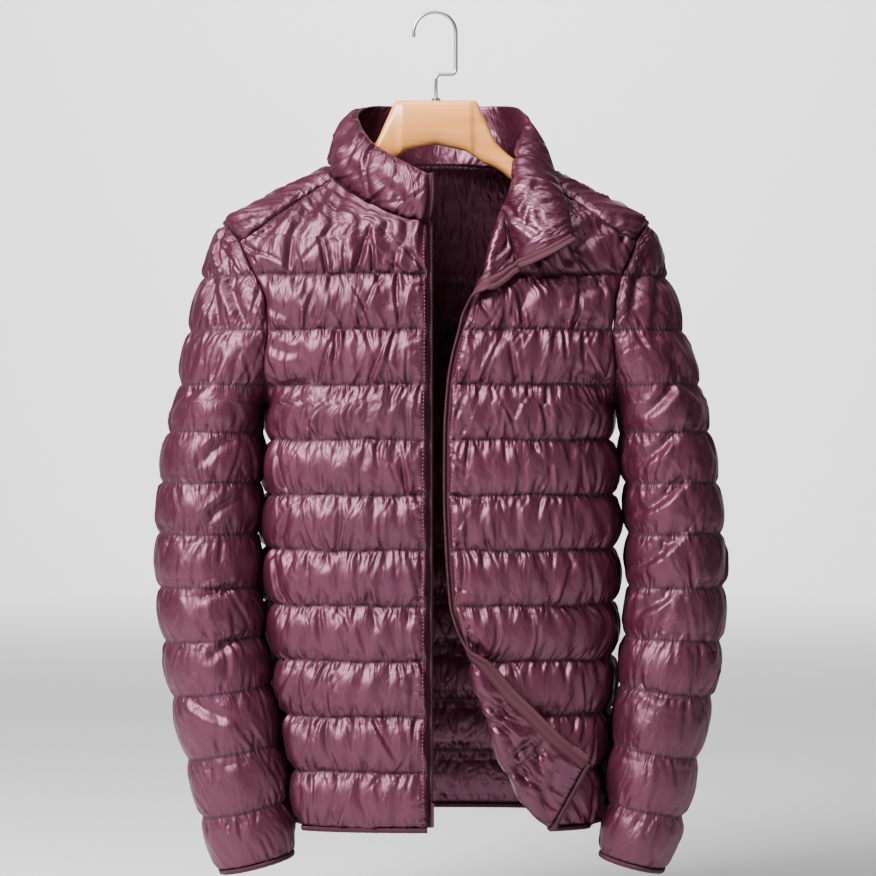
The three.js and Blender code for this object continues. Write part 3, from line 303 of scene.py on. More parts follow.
# Gathered cloth
def gathered_cloth(channels, width, height, arc, near, far, steps, seed):
    """Inflated cloth that repeats along its quilt lines. A sheet of square threads, pinned at straight lines a
    channel apart, is longer than the line that it is sewn to, most of all beside the stitches. Pressure lifts
    it, springs hold its lengths, a stiffness against bending sets the width of the gathers. Returns the points'
    moves along the line, across it and outwards, by channel, row and column, and the column spacing."""
    spacing, pressure, bend = 1.5, 0.006, 0.4
    rng = np.random.default_rng(seed)
    columns, rows = int(width / spacing), int(round(arc / spacing / 2)) * 2
    u = np.arange(columns) * spacing
    t = np.arange(rows + 1) / rows
    beside = np.minimum(t, 1 - t) * arc
    excess = far + (near - far) * np.exp(-beside / 12)
    excess[[0, -1]] = 0
    shape = (channels, rows + 1, columns)
    arch = np.sin(np.pi * t)[None, :, None]
    noise = rng.normal(size=shape)
    for _ in range(2):
        noise = (noise + np.roll(noise, 1, 2) + np.roll(noise, -1, 2)) / 3
    x = points(u, (t * height)[None, :, None], arch * 4 + noise * 2 * np.sqrt(np.abs(arch)))
    free = np.ones(shape + (1,))
    free[:, [0, -1]] = 0
    after, before = np.zeros((1, 1, columns, 3)), np.zeros((1, 1, columns, 3))
    after[..., -1, 0] = before[..., 0, 0] = columns * spacing
    along = spacing * (1 + excess)[None, :, None]
    across = arc / rows
    diagonal = np.sqrt(across ** 2 + ((along[:, :-1] + along[:, 1:]) / 2) ** 2)

    def pull(a, b, rest, share):
        d = b - a
        length = np.sqrt((d * d).sum(-1)) + 1e-9
        return d * (share * (length - rest) / length)[..., None]

    def mean(p, left=0, right=0):
        m = (np.roll(p, 1, 2) - left + np.roll(p, -1, 2) + right) * 0.25
        m[:, 1:-1] += (p[:, 2:] + p[:, :-2]) * 0.25
        m[:, [0, -1]] = p[:, [0, -1]]
        return m

    speed = np.zeros_like(x)
    for _ in range(steps):
        side = np.roll(x, -1, 2) + after - np.roll(x, 1, 2) + before
        rise = np.zeros_like(x)
        rise[:, 1:-1] = x[:, 2:] - x[:, :-2]
        old = x
        x = x + (speed * 0.93 + unit(np.cross(side, rise)) * pressure) * free
        for _ in range(5):
            move = np.zeros_like(x)
            following = np.roll(x, -1, 2) + after
            c = pull(x, following, along, 0.5)
            move += c - np.roll(c, 1, 2)
            c = pull(x[:, :-1], x[:, 1:], across, 0.5)
            move[:, :-1] += c
            move[:, 1:] -= c
            c = pull(x[:, :-1], following[:, 1:], diagonal, 0.12)
            move[:, :-1] += c
            move[:, 1:] -= np.roll(c, 1, 2)
            c = pull(following[:, :-1], x[:, 1:], diagonal, 0.12)
            move[:, 1:] -= c
            move[:, :-1] += np.roll(c, 1, 2)
            x = x + move * 0.8 * free
        for _ in range(2):
            curve = mean(x, before, after) - x
            x = x + bend * free * (curve - mean(curve))
        x[..., 2] = np.maximum(x[..., 2], 0)
        speed = (x - old) * 0.97
    for _ in range(2):
        x = x + free * (mean(x, before, after) - x)
    middle = x[:, rows // 2, :, 2].mean()
    return {
        "along": x[..., 0] - u,
        "across": x[..., 1] - (t * height)[None, :, None],
        "out": x[..., 2] / middle,
        "spacing": spacing,
    }


def sharp_folds(cloth, channels, width, height, kinds, seed):
    """Adds sharp folds to a gathered cloth: each leaves a quilt line, leans a little as its neighbours do, and
    dies away, a narrow valley with a ridge on one side. Each kind has a mean gap, a mean reach and a share of
    the full depth. Lengths and depths are in millimetres."""
    fine = 0.7
    rng = np.random.default_rng(seed)
    columns, rows = int(width / fine), int(height / fine)
    field = np.zeros((channels, rows + 1, columns))
    for sheet, edge, (gap, reach, share) in itertools.product(range(channels), (0, 1), kinds):
        place = rng.uniform(0, gap)
        phase, wave = rng.uniform(0, FULL_TURN), rng.uniform(90, 170)
        while place < width:
            length = np.clip(reach * np.exp(rng.normal(0, 0.62)), 5, height * 0.94)
            lean = 0.3 * np.sin(place / wave * FULL_TURN + phase) + rng.normal(0, 0.2)
            wide = 1.1 + 0.014 * length + rng.uniform(0, 0.9)
            deep = share * (0.8 + 0.034 * length) * rng.uniform(0.6, 1.25)
            bow = rng.normal(0, 0.004)
            side = 1 if rng.random() < 0.5 else -1
            count = int(length / fine)
            off = np.arange(count) * fine
            centre = place + lean * off + bow * off ** 2
            span = int(4.5 * wide / fine)
            start = np.floor(centre / fine).astype(int)[:, None] + np.arange(-span, span + 1)[None]
            x = start * fine - centre[:, None]
            shape = 0.6 * np.exp(-((x - side * 1.9 * wide) / (1.25 * wide)) ** 2) - np.exp(-(x / wide) ** 2)
            shape *= deep * (1 - off / length)[:, None] ** 0.75
            row = np.arange(count) if edge == 0 else rows - np.arange(count)
            np.add.at(field[sheet], (row[:, None] + 0 * start, start % columns), shape)
            place += gap * rng.gamma(2.2, 1 / 2.2) + 2
    cloth["fold"], cloth["fine"] = np.clip(field, -4.4, 2.4), fine
    return cloth


WORK = 150
quilt = gathered_cloth(5, 420, CHANNEL, 62, 0.18, 0.03, WORK, 3)
quilt = sharp_folds(quilt, 5, 420, CHANNEL, ((9, 18, 1.55), (4.2, 6.5, 1.35)), 21)
tall = gathered_cloth(3, 420, 92, 99, 0.11, 0.04, WORK, 8)
tall = sharp_folds(tall, 3, 420, 92, ((10, 38, 1.35), (5, 8, 1.2)), 5)


def read_cloth(data, spacing, sheet, share, way):
    """A field of the cloth between its grid points, repeating along the line."""
    rows, columns = data.shape[1:]
    way, r = way / spacing, share * (rows - 1)
    r0 = np.clip(np.floor(r).astype(int), 0, rows - 2)
    c0 = np.floor(way).astype(int)
    low = lerp(data[sheet, r0, c0 % columns], data[sheet, r0, (c0 + 1) % columns], way - c0)
    high = lerp(data[sheet, r0 + 1, c0 % columns], data[sheet, r0 + 1, (c0 + 1) % columns], way - c0)
    return lerp(low, high, r - r0)


def sample(cloth, line, run, seed):
    """Moves of the gathered cloth at a place, and its folds in mm: line counts channels, run is the way along."""
    channel = np.floor(line + 1e-6).astype(int)
    share = np.clip(line - channel, 0, 1)
    sheets = cloth["out"].shape[0]
    sheet = (channel * 3 + seed) % sheets
    flip = (channel * 5 + seed) % 2 == 0
    way = np.where(flip, -run, run) + channel * 91.3 + seed * 57.7
    along, across, out = [read_cloth(cloth[name], cloth["spacing"], sheet, share, way)
                          for name in ("along", "across", "out")]
    fold = read_cloth(cloth["fold"], cloth["fine"], sheet, share, way)
    return np.where(flip, -along, along), across, out, fold * smooth(out / 0.5)


def seam_fade(way, width=14):
    """Rise of the filling from a seam: a quarter ellipse as wide as given."""
    s = np.clip(1 - way / width, 0, 1)
    return np.sqrt(1 - s * s)


def creases(grid, rows):
    """Depth of listed creases: each runs between two points seen from the front, in the x-z plane, with a
    depth and a width, and dies away at its ends."""
    depth = np.zeros(grid.shape[:2])
    for x0, z0, x1, z1, deep, wide in rows:
        a, d = np.array([x0, z0]), np.array([x1 - x0, z1 - z0])
        p = grid[..., [0, 2]] - a
        t = np.clip((p @ d) / (d @ d), 0, 1)
        bow = 0.06 * np.hypot(*d) * np.sin(np.pi * t)
        away = np.linalg.norm(p - t[..., None] * d, axis=-1)
        side = (p[..., 0] * d[1] - p[..., 1] * d[0]) / np.hypot(*d) - bow
        near = np.where((t > 0) & (t < 1), side, away + np.abs(bow))
        valley = np.exp(-(near / wide) ** 2) - 0.45 * np.exp(-((near - 1.7 * wide) / wide) ** 2)
        depth += deep * valley * np.sin(np.pi * np.clip(t, 0.02, 0.98)) ** 0.6
    return depth


def edge_folds(away, along, seed, reach=13):
    """Small folds that leave a sewn edge at right angles, in mm, by the way from the edge and the way along it."""
    line = np.clip(away / CHANNEL, 0, 0.5) + 0 * along
    channel = (along // 400).astype(int) * 0 + seed
    fold = read_cloth(quilt["fold"], quilt["fine"], channel % 5, line, along * 1.35 + seed * 77.0)
    return fold * np.exp(-away / reach) * smooth(away / 3)


def raise_cloth(grid, line, run, height, fade, seed, closed=0, cloth=None, sink=0):
    """Outer points of a padded wall: the grid moved out by its cloth and by the gathered sheet's moves."""
    across, up, out = directions(grid, closed)
    along_move, across_move, rise, fold = sample(cloth or quilt, line, run, seed)
    share = np.clip(height / PUFF, 0, 1.2)
    lift = CLOTH + (height * rise + fold * share ** 0.35) * fade - sink * np.clip(fade, 0, 1)
    lift = np.maximum(lift, CLOTH * 0.5)
    shift = share * fade
    wave = 0.7 * np.sin(run / 19 + line * 2.3 + seed) + 0.45 * np.sin(run / 7.1 + line * 3.9 + 2 * seed)
    return (grid + out * lift[..., None] + across * (along_move * shift)[..., None]
            + up * ((across_move + wave) * shift)[..., None])


def blended(grid, line, run, height, fade, seed, top, closed=0, sink=0):
    """Quilted channels below the highest quilt line and the long-wrinkled cloth above it; top is 1 there."""
    low = raise_cloth(grid, np.minimum(line, CHANNELS - 1e-3), run, height, fade, seed, closed, quilt, sink)
    high = raise_cloth(grid, line, run, height, fade, seed, closed, tall, sink)
    return np.where(top[..., None], high, low)


def eased(grid, away):
    """Rows near the underarm height made smooth, except close to the panel's edges."""
    weight = 0.5 * np.exp(-((grid[..., 2] - PIT) / 22) ** 2) * smooth((away - 5) / 22)
    for _ in range(36):
        mean = (grid[:-2] + grid[2:]) / 2
        grid[1:-1] += (mean - grid[1:-1]) * weight[1:-1, :, None]
    return grid


# Meshes
def wall_faces(rows, columns, closed):
    """Vertex indices of a wall: a fine outer grid, an inner grid with half its steps, and the rim between."""
    outer = np.arange((rows + 1) * (columns + 1)).reshape(rows + 1, columns + 1)
    inner = outer.size + np.arange((rows // 2 + 1) * (columns // 2 + 1)).reshape(rows // 2 + 1, columns // 2 + 1)
    if closed:
        outer[:closed, -1] = outer[:closed, 0]
        inner[:(closed + 1) // 2, -1] = inner[:(closed + 1) // 2, 0]

    def quads(g, turn):
        a, b, c, d = g[:-1, :-1], g[:-1, 1:], g[1:, 1:], g[1:, :-1]
        order = (a, d, c, b) if turn else (a, b, c, d)
        return np.stack([p.ravel() for p in order], -1)

    def rim(fine, coarse, turn):
        a, b, c = fine[:-2:2], fine[1:-1:2], fine[2::2]
        p, q = coarse[:-1], coarse[1:]
        tri = np.concatenate([np.stack(t, -1) for t in ((a, b, p), (b, q, p), (b, c, q))])
        return tri[:, ::-1] if turn else tri

    first = closed - 1 if closed else 0
    rims = [rim(outer[0], inner[0], True), rim(outer[-1], inner[-1], False)]
    rims.append(rim(outer[first:, 0], inner[first // 2:, 0], False))
    rims.append(rim(outer[first:, -1], inner[first // 2:, -1], True))
    return np.concatenate([quads(outer, False), quads(inner, True)]), np.concatenate(rims)


def new_mesh(name, verts, quads, tris, material, uv=None, extra=None):
    """A mesh object in metres at the origin, smooth, with its own UV map and a named float attribute."""
    used = np.unique(np.concatenate([quads.ravel(), tris.ravel()])) if len(tris) else np.unique(quads)
    remap = np.full(len(verts), -1)
    remap[used] = np.arange(len(used))
    verts = verts[used] / 1000
    quads, tris = remap[quads], remap[tris] if len(tris) else np.empty((0, 3), int)
    loops = np.concatenate([quads.ravel(), tris.ravel()])
    sizes = np.concatenate([np.full(len(quads), 4), np.full(len(tris), 3)])
    mesh = bpy.data.meshes.new(name)
    mesh.vertices.add(len(verts))
    mesh.vertices.foreach_set("co", verts.ravel())
    mesh.loops.add(len(loops))
    mesh.loops.foreach_set("vertex_index", loops.astype(np.int32))
    mesh.polygons.add(len(sizes))
    mesh.polygons.foreach_set("loop_start", np.concatenate([[0], np.cumsum(sizes)[:-1]]).astype(np.int32))
    mesh.update(calc_edges=True)
    if uv is not None:
        layer = mesh.uv_layers.new(name="cloth")
        layer.data.foreach_set("uv", uv[used][loops].ravel().astype(np.float32))
    if extra is not None:
        mesh.attributes.new("seam", "FLOAT", "POINT").data.foreach_set("value", extra[used].astype(np.float32))
    mesh.polygons.foreach_set("use_smooth", np.ones(len(sizes), bool))
    mesh.validate()
    mesh.materials.append(material)
    obj = bpy.data.objects.new(name, mesh)
    bpy.context.scene.collection.objects.link(obj)
    return obj


def face_out(obj):
    """Turns a closed mesh the right way round."""
    mesh = obj.data
    mesh.calc_loop_triangles()
    co = np.empty(len(mesh.vertices) * 3)
    mesh.vertices.foreach_get("co", co)
    tri = np.empty(len(mesh.loop_triangles) * 3, np.int32)
    mesh.loop_triangles.foreach_get("vertices", tri)
    p = co.reshape(-1, 3)[tri.reshape(-1, 3)]
    if np.einsum("ij,ij->i", p[:, 0], np.cross(p[:, 1], p[:, 2])).sum() < 0:
        mesh.flip_normals()


def halved(a):
    return a[::2, ::2]


def wall_parts(outer, inner, run, height_run, seam, closed=0):
    """Vertices, faces, UV and seam distance of a wall."""
    quads, tris = wall_faces(outer.shape[0] - 1, outer.shape[1] - 1, closed)
    verts = np.concatenate([outer.reshape(-1, 3), halved(inner).reshape(-1, 3)])
    uv = np.stack([run, height_run], -1) / 1000
    uv = np.concatenate([uv.reshape(-1, 2), halved(uv).reshape(-1, 2) + 3])
    extra = np.concatenate([seam.ravel(), halved(seam).ravel()])
    return verts, quads, tris, uv, extra


def seam_distance(line):
    """Millimetres to the nearest quilt line."""
    return np.abs(line - np.round(line)) * CHANNEL


# Heights of the rows from the hem up
body_rows = np.linspace(FIRST_LINE - CHANNELS * CHANNEL, FIRST_LINE, CHANNELS * CHANNEL_ROWS + 1)
body_line = np.linspace(0, CHANNELS, CHANNELS * CHANNEL_ROWS + 1)


def pit_fade(grid):
    """Channels are pressed flat where the sleeve and the body meet under the arm."""
    return smooth((np.hypot((grid[..., 1] + 14) * 0.6, grid[..., 2] - PIT) - 10) / 40)


def column_run(grid):
    step = np.linalg.norm(np.diff(grid, axis=0), axis=2)
    return np.concatenate([np.zeros((1, grid.shape[1])), np.cumsum(step, 0)])


# Materials
def new_material(name):
    material = bpy.data.materials.new(name)
    material.use_nodes = True
    tree = material.node_tree
    return material, tree, tree.nodes["Principled BSDF"]


def node(tree, kind, inputs=(), **settings):
    """A node with its settings; inputs are (socket, value or output) pairs."""
    made = tree.nodes.new(kind)
    for name, value in settings.items():
        setattr(made, name, value)
    for socket, value in inputs:
        if isinstance(value, bpy.types.NodeSocket):
            tree.links.new(value, made.inputs[socket])
        else:
            made.inputs[socket].default_value = value
    return made


def ramp(tree, factor, stops):
    made = node(tree, "ShaderNodeValToRGB", [("Fac", factor)])
    elements = made.color_ramp.elements
    while len(elements) < len(stops):
        elements.new(0.5)
    for element, (place, colour) in zip(elements, stops):
        element.position = place
        element.color = (*colour, 1)
    return made.outputs["Color"]


def nylon_material(name, base, rough, crumpled):
    """Smooth nylon with a satin shine, with painted shade darkening the quilt-line valleys, and fine crinkles along the
    gathers.
    """
    material, tree, shader = new_material(name)
    uv = node(tree, "ShaderNodeUVMap", uv_map="cloth").outputs["UV"]
    seam = node(tree, "ShaderNodeAttribute", attribute_name="seam").outputs["Fac"]
    near = node(tree, "ShaderNodeMapRange", [("Value", seam), ("From Min", 0.4), ("From Max", 3.2)]).outputs["Result"]
    place = node(tree, "ShaderNodeTexCoord").outputs["Object"]
    patch = node(tree, "ShaderNodeTexNoise", [("Vector", place), ("Scale", 9), ("Detail", 1)]).outputs["Fac"]
    dark, light = [c * 0.86 for c in base], [min(c * 1.1, 1) for c in base]
    tone = ramp(tree, patch, [(0.35, dark), (0.65, light)])
    # painted shade: the base colour drops to 30 % of itself within 0.4 mm of a quilt line and returns to the cloth's
    # tone by 3.2 mm, standing in for the shadow in the stitched valleys
    painted_seam_shade = node(tree, "ShaderNodeMix", [("Factor", near), ("A", (*[c * 0.3 for c in base], 1)), ("B", tone)],
                    data_type="RGBA")
    matt = node(tree, "ShaderNodeMapRange", [("Value", seam), ("From Min", 0.3), ("From Max", 4.0), ("To Min", 0.75),
                                             ("To Max", rough)]).outputs["Result"]
    tree.links.new(matt, shader.inputs["Roughness"])
    tree.links.new(painted_seam_shade.outputs["Result"], shader.inputs["Base Color"])
    bent = node(tree, "ShaderNodeTexNoise", [("Vector", uv), ("Scale", 26), ("Detail", 0)]).outputs["Color"]
    warp = node(tree, "ShaderNodeVectorMath", [(0, bent), (1, (0.012, 0.02, 0))], operation="MULTIPLY").outputs[0]
    warped = node(tree, "ShaderNodeVectorMath", [(0, uv), (1, warp)], operation="ADD").outputs[0]
    stretch = node(tree, "ShaderNodeMapping", [("Vector", warped), ("Scale", (1, 0.45, 1))]).outputs["Vector"]
    wide = node(tree, "ShaderNodeTexNoise", [("Vector", stretch), ("Scale", 80), ("Detail", 2)]).outputs["Fac"]
    ridged = node(tree, "ShaderNodeMath", [(0, wide), (1, 0.5)], operation="SUBTRACT").outputs[0]
    ridged = node(tree, "ShaderNodeMath", [(0, ridged)], operation="ABSOLUTE").outputs[0]
    crumple = node(tree, "ShaderNodeBump", [("Strength", crumpled), ("Distance", 0.0035), ("Height", ridged)])
    streaks = node(tree, "ShaderNodeMapping", [("Vector", warped), ("Scale", (1, 0.14, 1))]).outputs["Vector"]
    fine = node(tree, "ShaderNodeTexNoise", [("Vector", streaks), ("Scale", 270), ("Detail", 1)]).outputs["Fac"]
    beside = node(tree, "ShaderNodeMapRange", [("Value", seam), ("From Min", 0.5), ("From Max", 10), ("To Min", 1),
                                               ("To Max", 0.06)]).outputs["Result"]
    puckers = node(tree, "ShaderNodeMath", [(0, fine), (1, beside)], operation="MULTIPLY").outputs[0]
    bump = node(tree, "ShaderNodeBump", [("Strength", 1.0), ("Distance", 0.0034), ("Height", puckers),
                                         ("Normal", crumple.outputs["Normal"])])
    weave = node(tree, "ShaderNodeTexNoise", [("Vector", uv), ("Scale", 2400), ("Detail", 0)])
    cloth = node(tree, "ShaderNodeBump", [("Strength", 0.12), ("Distance", 0.0002),
                                          ("Height", weave.outputs["Fac"]), ("Normal", bump.outputs["Normal"])])
    tree.links.new(cloth.outputs["Normal"], shader.inputs["Normal"])
    shader.inputs["IOR"].default_value = 1.62
    shader.inputs["Specular IOR Level"].default_value = 0.95
    shader.inputs["Specular Tint"].default_value = (1.0, 0.56, 0.72, 1)
    shader.inputs["Sheen Weight"].default_value = 0.05
    shader.inputs["Sheen Roughness"].default_value = 0.35
    shader.inputs["Sheen Tint"].default_value = (1.0, 0.75, 0.85, 1)
    shader.inputs["Coat Weight"].default_value = 0.03
    shader.inputs["Coat Roughness"].default_value = 0.3
    return material


def woven_material(name, base, rough, scale):
    """Flat ribbed trim."""
    material, tree, shader = new_material(name)
    uv = node(tree, "ShaderNodeUVMap", uv_map="cloth").outputs["UV"]
    ribs = node(tree, "ShaderNodeTexWave", [("Vector", uv), ("Scale", scale), ("Distortion", 0.4)])
    bump = node(tree, "ShaderNodeBump", [("Strength", 0.4), ("Distance", 0.0004), ("Height", ribs.outputs["Fac"])])
    tree.links.new(bump.outputs["Normal"], shader.inputs["Normal"])
    shader.inputs["Base Color"].default_value = (*base, 1)
    shader.inputs["Roughness"].default_value = rough
    return material


def plain_material(name, base, rough, metallic=0.0):
    material, _, shader = new_material(name)
    shader.inputs["Base Color"].default_value = (*base, 1)
    shader.inputs["Roughness"].default_value = rough
    shader.inputs["Metallic"].default_value = metallic
    return material


def wood_material():
    """Pale varnished wood: long uneven grain along the arms."""
    material, tree, shader = new_material("pale_wood")
    place = node(tree, "ShaderNodeTexCoord").outputs["Object"]
    along = node(tree, "ShaderNodeMapping", [("Vector", place), ("Scale", (2.2, 9, 30))]).outputs["Vector"]
    rings = node(tree, "ShaderNodeTexNoise", [("Vector", along), ("Scale", 6), ("Detail", 5), ("Distortion", 0.6)])
    tone = ramp(tree, rings.outputs["Fac"], [(0.3, (0.78, 0.33, 0.10)), (0.55, (0.84, 0.39, 0.14)), (0.8, (0.9, 0.46, 0.19))])
    tree.links.new(tone, shader.inputs["Base Color"])
    bump = node(tree, "ShaderNodeBump", [("Strength", 0.1), ("Distance", 0.0006), ("Height", rings.outputs["Fac"])])
    tree.links.new(bump.outputs["Normal"], shader.inputs["Normal"])
    shader.inputs["Roughness"].default_value = 0.34
    shader.inputs["Coat Weight"].default_value = 0.3
    shader.inputs["Coat Roughness"].default_value = 0.2
    return material


NYLON = (0.058, 0.0100, 0.0230)
shell = nylon_material("nylon_shell", NYLON, 0.47, 0.9)
lining = nylon_material("nylon_lining", [c * 0.92 for c in NYLON], 0.38, 1.0)
binding = woven_material("binding_elastic", (0.07, 0.012, 0.03), 0.55, 900)
tape = woven_material("zip_tape_weave", (0.085, 0.022, 0.036), 0.7, 700)
coil = plain_material("zip_coil_plastic", (0.075, 0.02, 0.032), 0.35)
hardware = plain_material("zip_enamel", (0.12, 0.04, 0.06), 0.3, 0.4)
thread = plain_material("sewing_thread", (0.3, 0.1, 0.16), 0.45)
wood = wood_material()
steel = plain_material("hook_steel", (0.6, 0.61, 0.63), 0.28, 1.0)


def dress(obj, body, replaced):
    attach(obj, body)
    if replaced:
        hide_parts(*replaced)
    return obj


def wall_object(name, parts, two_faced=True):
    """A padded wall from one or more walls: shell outside and lining inside."""
    start, verts, quads, tris, uv, extra = 0, [], [], [], [], []
    for v, q, t, u, e in parts:
        verts.append(v)
        quads.append(q + start)
        tris.append(t + start)
        uv.append(u)
        extra.append(e)
        start += len(v)
    made = [np.concatenate(p) for p in (verts, quads, tris, uv, extra)]
    obj = new_mesh(name, *made[:3], shell, made[3], made[4])
    if two_faced:
        obj.data.materials.append(lining)
        count = len(obj.data.polygons)
        lining_side = np.zeros(count, np.int32)
        coords = np.empty(len(obj.data.loops) * 2, np.float32)
        obj.data.uv_layers["cloth"].data.foreach_get("uv", coords)
        first = np.empty(count, np.int32)
        obj.data.polygons.foreach_get("loop_start", first)
        lining_side[coords.reshape(-1, 2)[first, 0] > 2] = 1
        obj.data.polygons.foreach_set("material_index", lining_side)
    dress(obj, "jacket", [name])
    return obj


def lining_of(grid, line, run, fade, seed, depth, folds=0.8, closed=0):
    """Inner points: the lining's own gathers, towards the inside."""
    _, _, out = directions(grid, closed)
    _, _, rise, fold = sample(quilt, np.minimum(line, CHANNELS - 1e-3), run, seed)
    return grid - out * ((depth * rise + folds * fold) * fade)[..., None]


# Right front
def front_rows(step=2.0):
    top = np.linspace(FIRST_LINE, -174, 53)[1:]
    return np.concatenate([body_rows, top]), np.concatenate([body_line, CHANNELS + np.zeros(len(top))])


def yoke_line(grid, line, top_height):
    """Above the highest quilt line the count goes on to the panel's own top edge."""
    share = (grid[..., 2] - FIRST_LINE) / np.maximum(top_height - FIRST_LINE, 1)
    return np.where(line[:, None] >= CHANNELS, CHANNELS + np.clip(share, 0, 0.999), line[:, None])


heights, lines = front_rows()
right_edge = np.where(heights < -226, ZIP_EDGE, at(NECK_SEAM, "x", heights))
start = front_outer_angle("right", heights) + GAP_ANGLE
end = front_angle("right", right_edge, heights)
raw = torso(lerp(start[:, None], end[:, None], np.linspace(0, 1, 320)), heights[:, None])
front_right_grid, run = even(raw, FRONT_COLUMNS)
front_right_grid = eased(front_right_grid, np.minimum(run, run[:, -1:] - run))
to_zip = run[:, -1:] - run
line = yoke_line(front_right_grid, lines, front_top(np.abs(front_right_grid[..., 0])))
above = np.broadcast_to((lines >= CHANNELS)[:, None], line.shape)
fade = seam_fade(run, 13) * seam_fade(to_zip, 9) * lerp(1, pit_fade(front_right_grid), smooth((60 - run) / 40))
CREASES_RIGHT = [
    (-96, -182, -150, -262, 4.5, 7), (-88, -190, -112, -268, 4, 6), (-70, -208, -74, -270, 3.5, 6),
    (-120, -178, -176, -246, 4, 8), (-50, -216, -40, -268, 3, 6), (-30, -222, -22, -270, 2.5, 5),
    (-150, -206, -186, -268, 4, 7), (-178, -300, -140, -318, 3, 5), (-172, -345, -135, -356, 3, 5),
    (-172, -392, -120, -380, 3.5, 6),
]
dents = creases(front_right_grid, CREASES_RIGHT) * fade
outer = blended(front_right_grid, line, to_zip, PUFF * np.ones_like(fade), fade, 1, above)
_, _, out = directions(front_right_grid)
way = column_run(front_right_grid)
pucker = edge_folds(to_zip, way, 2) + edge_folds(run, way, 3) * above
outer += out * (pucker * fade - dents)[..., None]
inner = lining_of(front_right_grid, line, to_zip, fade * ~above * seam_fade(to_zip - 9, 9), 4, 2.4)
way = column_run(front_right_grid)
front_right = wall_object("front_right", [wall_parts(outer, inner, to_zip, way, seam_distance(line))])


def stitches(name, outer, out, column, first, last):
    """A row of stitches on the shell beside the zip: short rounded threads, each between two punctures."""
    line = outer[first:last, column] + out[first:last, column] * 0.1
    step = np.linalg.norm(np.diff(line, axis=0), axis=1)
    run = np.concatenate([[0], np.cumsum(step)])
    starts = np.arange(2, run[-1] - 4, 4.1)
    share = np.array([0, 0.2, 0.5, 0.8, 1])
    rise, half = np.array([-0.3, 0.45, 0.6, 0.45, -0.3]), np.array([0.1, 0.42, 0.5, 0.42, 0.1])
    place = starts[:, None] + 2.9 * share

    def read(a):
        return np.stack([np.interp(place, run, a[:, m]) for m in range(3)], -1)

    centre, up = read(line), unit(read(out[first:last, column]))
    along = unit(np.gradient(centre, axis=1))
    side = unit(np.cross(along, up))
    turn = np.arange(6) * FULL_TURN / 6
    ring = (centre + up * rise[:, None])[:, :, None] + half[None, :, None, None] * (
        side[:, :, None] * np.cos(turn)[None, None, :, None] + up[:, :, None] * 0.7 * np.sin(turn)[None, None, :, None])
    verts = ring.reshape(-1, 3)
    base = (np.arange(len(starts)) * 30)[:, None, None, None]
    row, k = np.arange(4)[None, :, None, None] * 6, np.arange(6)[None, None, :]
    cell = np.stack([k, (k + 1) % 6, (k + 1) % 6 + 6, k + 6], -1)
    quads = (base + row + cell).reshape(-1, 4)
    ends = np.array([[0, 3, 2, 1], [0, 5, 4, 3], [24, 25, 26, 27], [24, 27, 28, 29]])
    ends = (np.arange(len(starts)) * 30)[:, None, None] + ends
    quads = np.concatenate([quads, ends.reshape(-1, 4)])
    obj = new_mesh(name, verts, quads, np.empty((0, 3), int), thread)
    face_out(obj)
    return dress(obj, "jacket", [])


stitches("zip_stitches_right", outer, out, -4, 2, int((heights < -228).sum()))


# Left front: lapel, roll and folded corner in one curve a row
def left_curves(z):
    """Each row's cross-section from the zip edge: a flat run, an arc over the roll, then the body form."""
    fold, turn = at(LEFT_EDGE, "foldX", z), np.radians(at(LEFT_EDGE, "turn", z))
    reach_x, reach_z = at(LEFT_EDGE, "zipX", z) - fold, at(LEFT_EDGE, "zipZ", z) - z
    reach = np.hypot(reach_x, reach_z)
    radius = np.clip(reach / 1.15, 5, ROLL)
    flap = np.maximum(reach - radius, 4)
    past = np.minimum(turn, np.pi / 2)
    begin = fold + radius * np.sin(past) + np.where(turn < np.pi / 2, flap * np.cos(turn), 0)
    angle = front_angle("left", begin, z)
    total = radius * turn + flap
    count = 130
    p = (np.linspace(0, 1, count) * total[:, None])
    bend = np.minimum(p / radius[:, None], turn[:, None])
    tilt = np.arctan2(reach_z, np.maximum(reach_x, 1e-3)) * (reach > 1)
    way = tilt[:, None] * smooth((bend - np.pi / 2) / (np.pi / 2))
    step = total[:, None] / (count - 1)
    dx, dz = -np.cos(bend) * np.cos(way) * step, -np.cos(bend) * np.sin(way) * step
    dx = np.where(bend < np.pi / 2, -np.cos(bend) * step, dx)
    dz = np.where(bend < np.pi / 2, 0, dz)
    rise = np.sin(bend) * step
    outward = np.maximum(p - (radius * turn)[:, None], 0)
    lift = CORNER_LIFT * (outward / CORNER_RUN) ** 2 * (turn[:, None] > np.pi / 2)
    first = torso(angle, z)
    x = first[:, :1] + np.cumsum(dx, 1) - dx[:, :1]
    height = z[:, None] + np.cumsum(dz, 1) - dz[:, :1]
    y = first[:, 1:2] - np.cumsum(rise, 1) + rise[:, :1] - lift
    curve = points(x, y, height)[:, ::-1]
    outer_end = front_outer_angle("left", z) - GAP_ANGLE
    body = torso(lerp(angle[:, None], outer_end[:, None], np.linspace(0, 1, 300)), z[:, None])
    return np.concatenate([curve, body[:, 1:]], 1), total, np.degrees(turn)


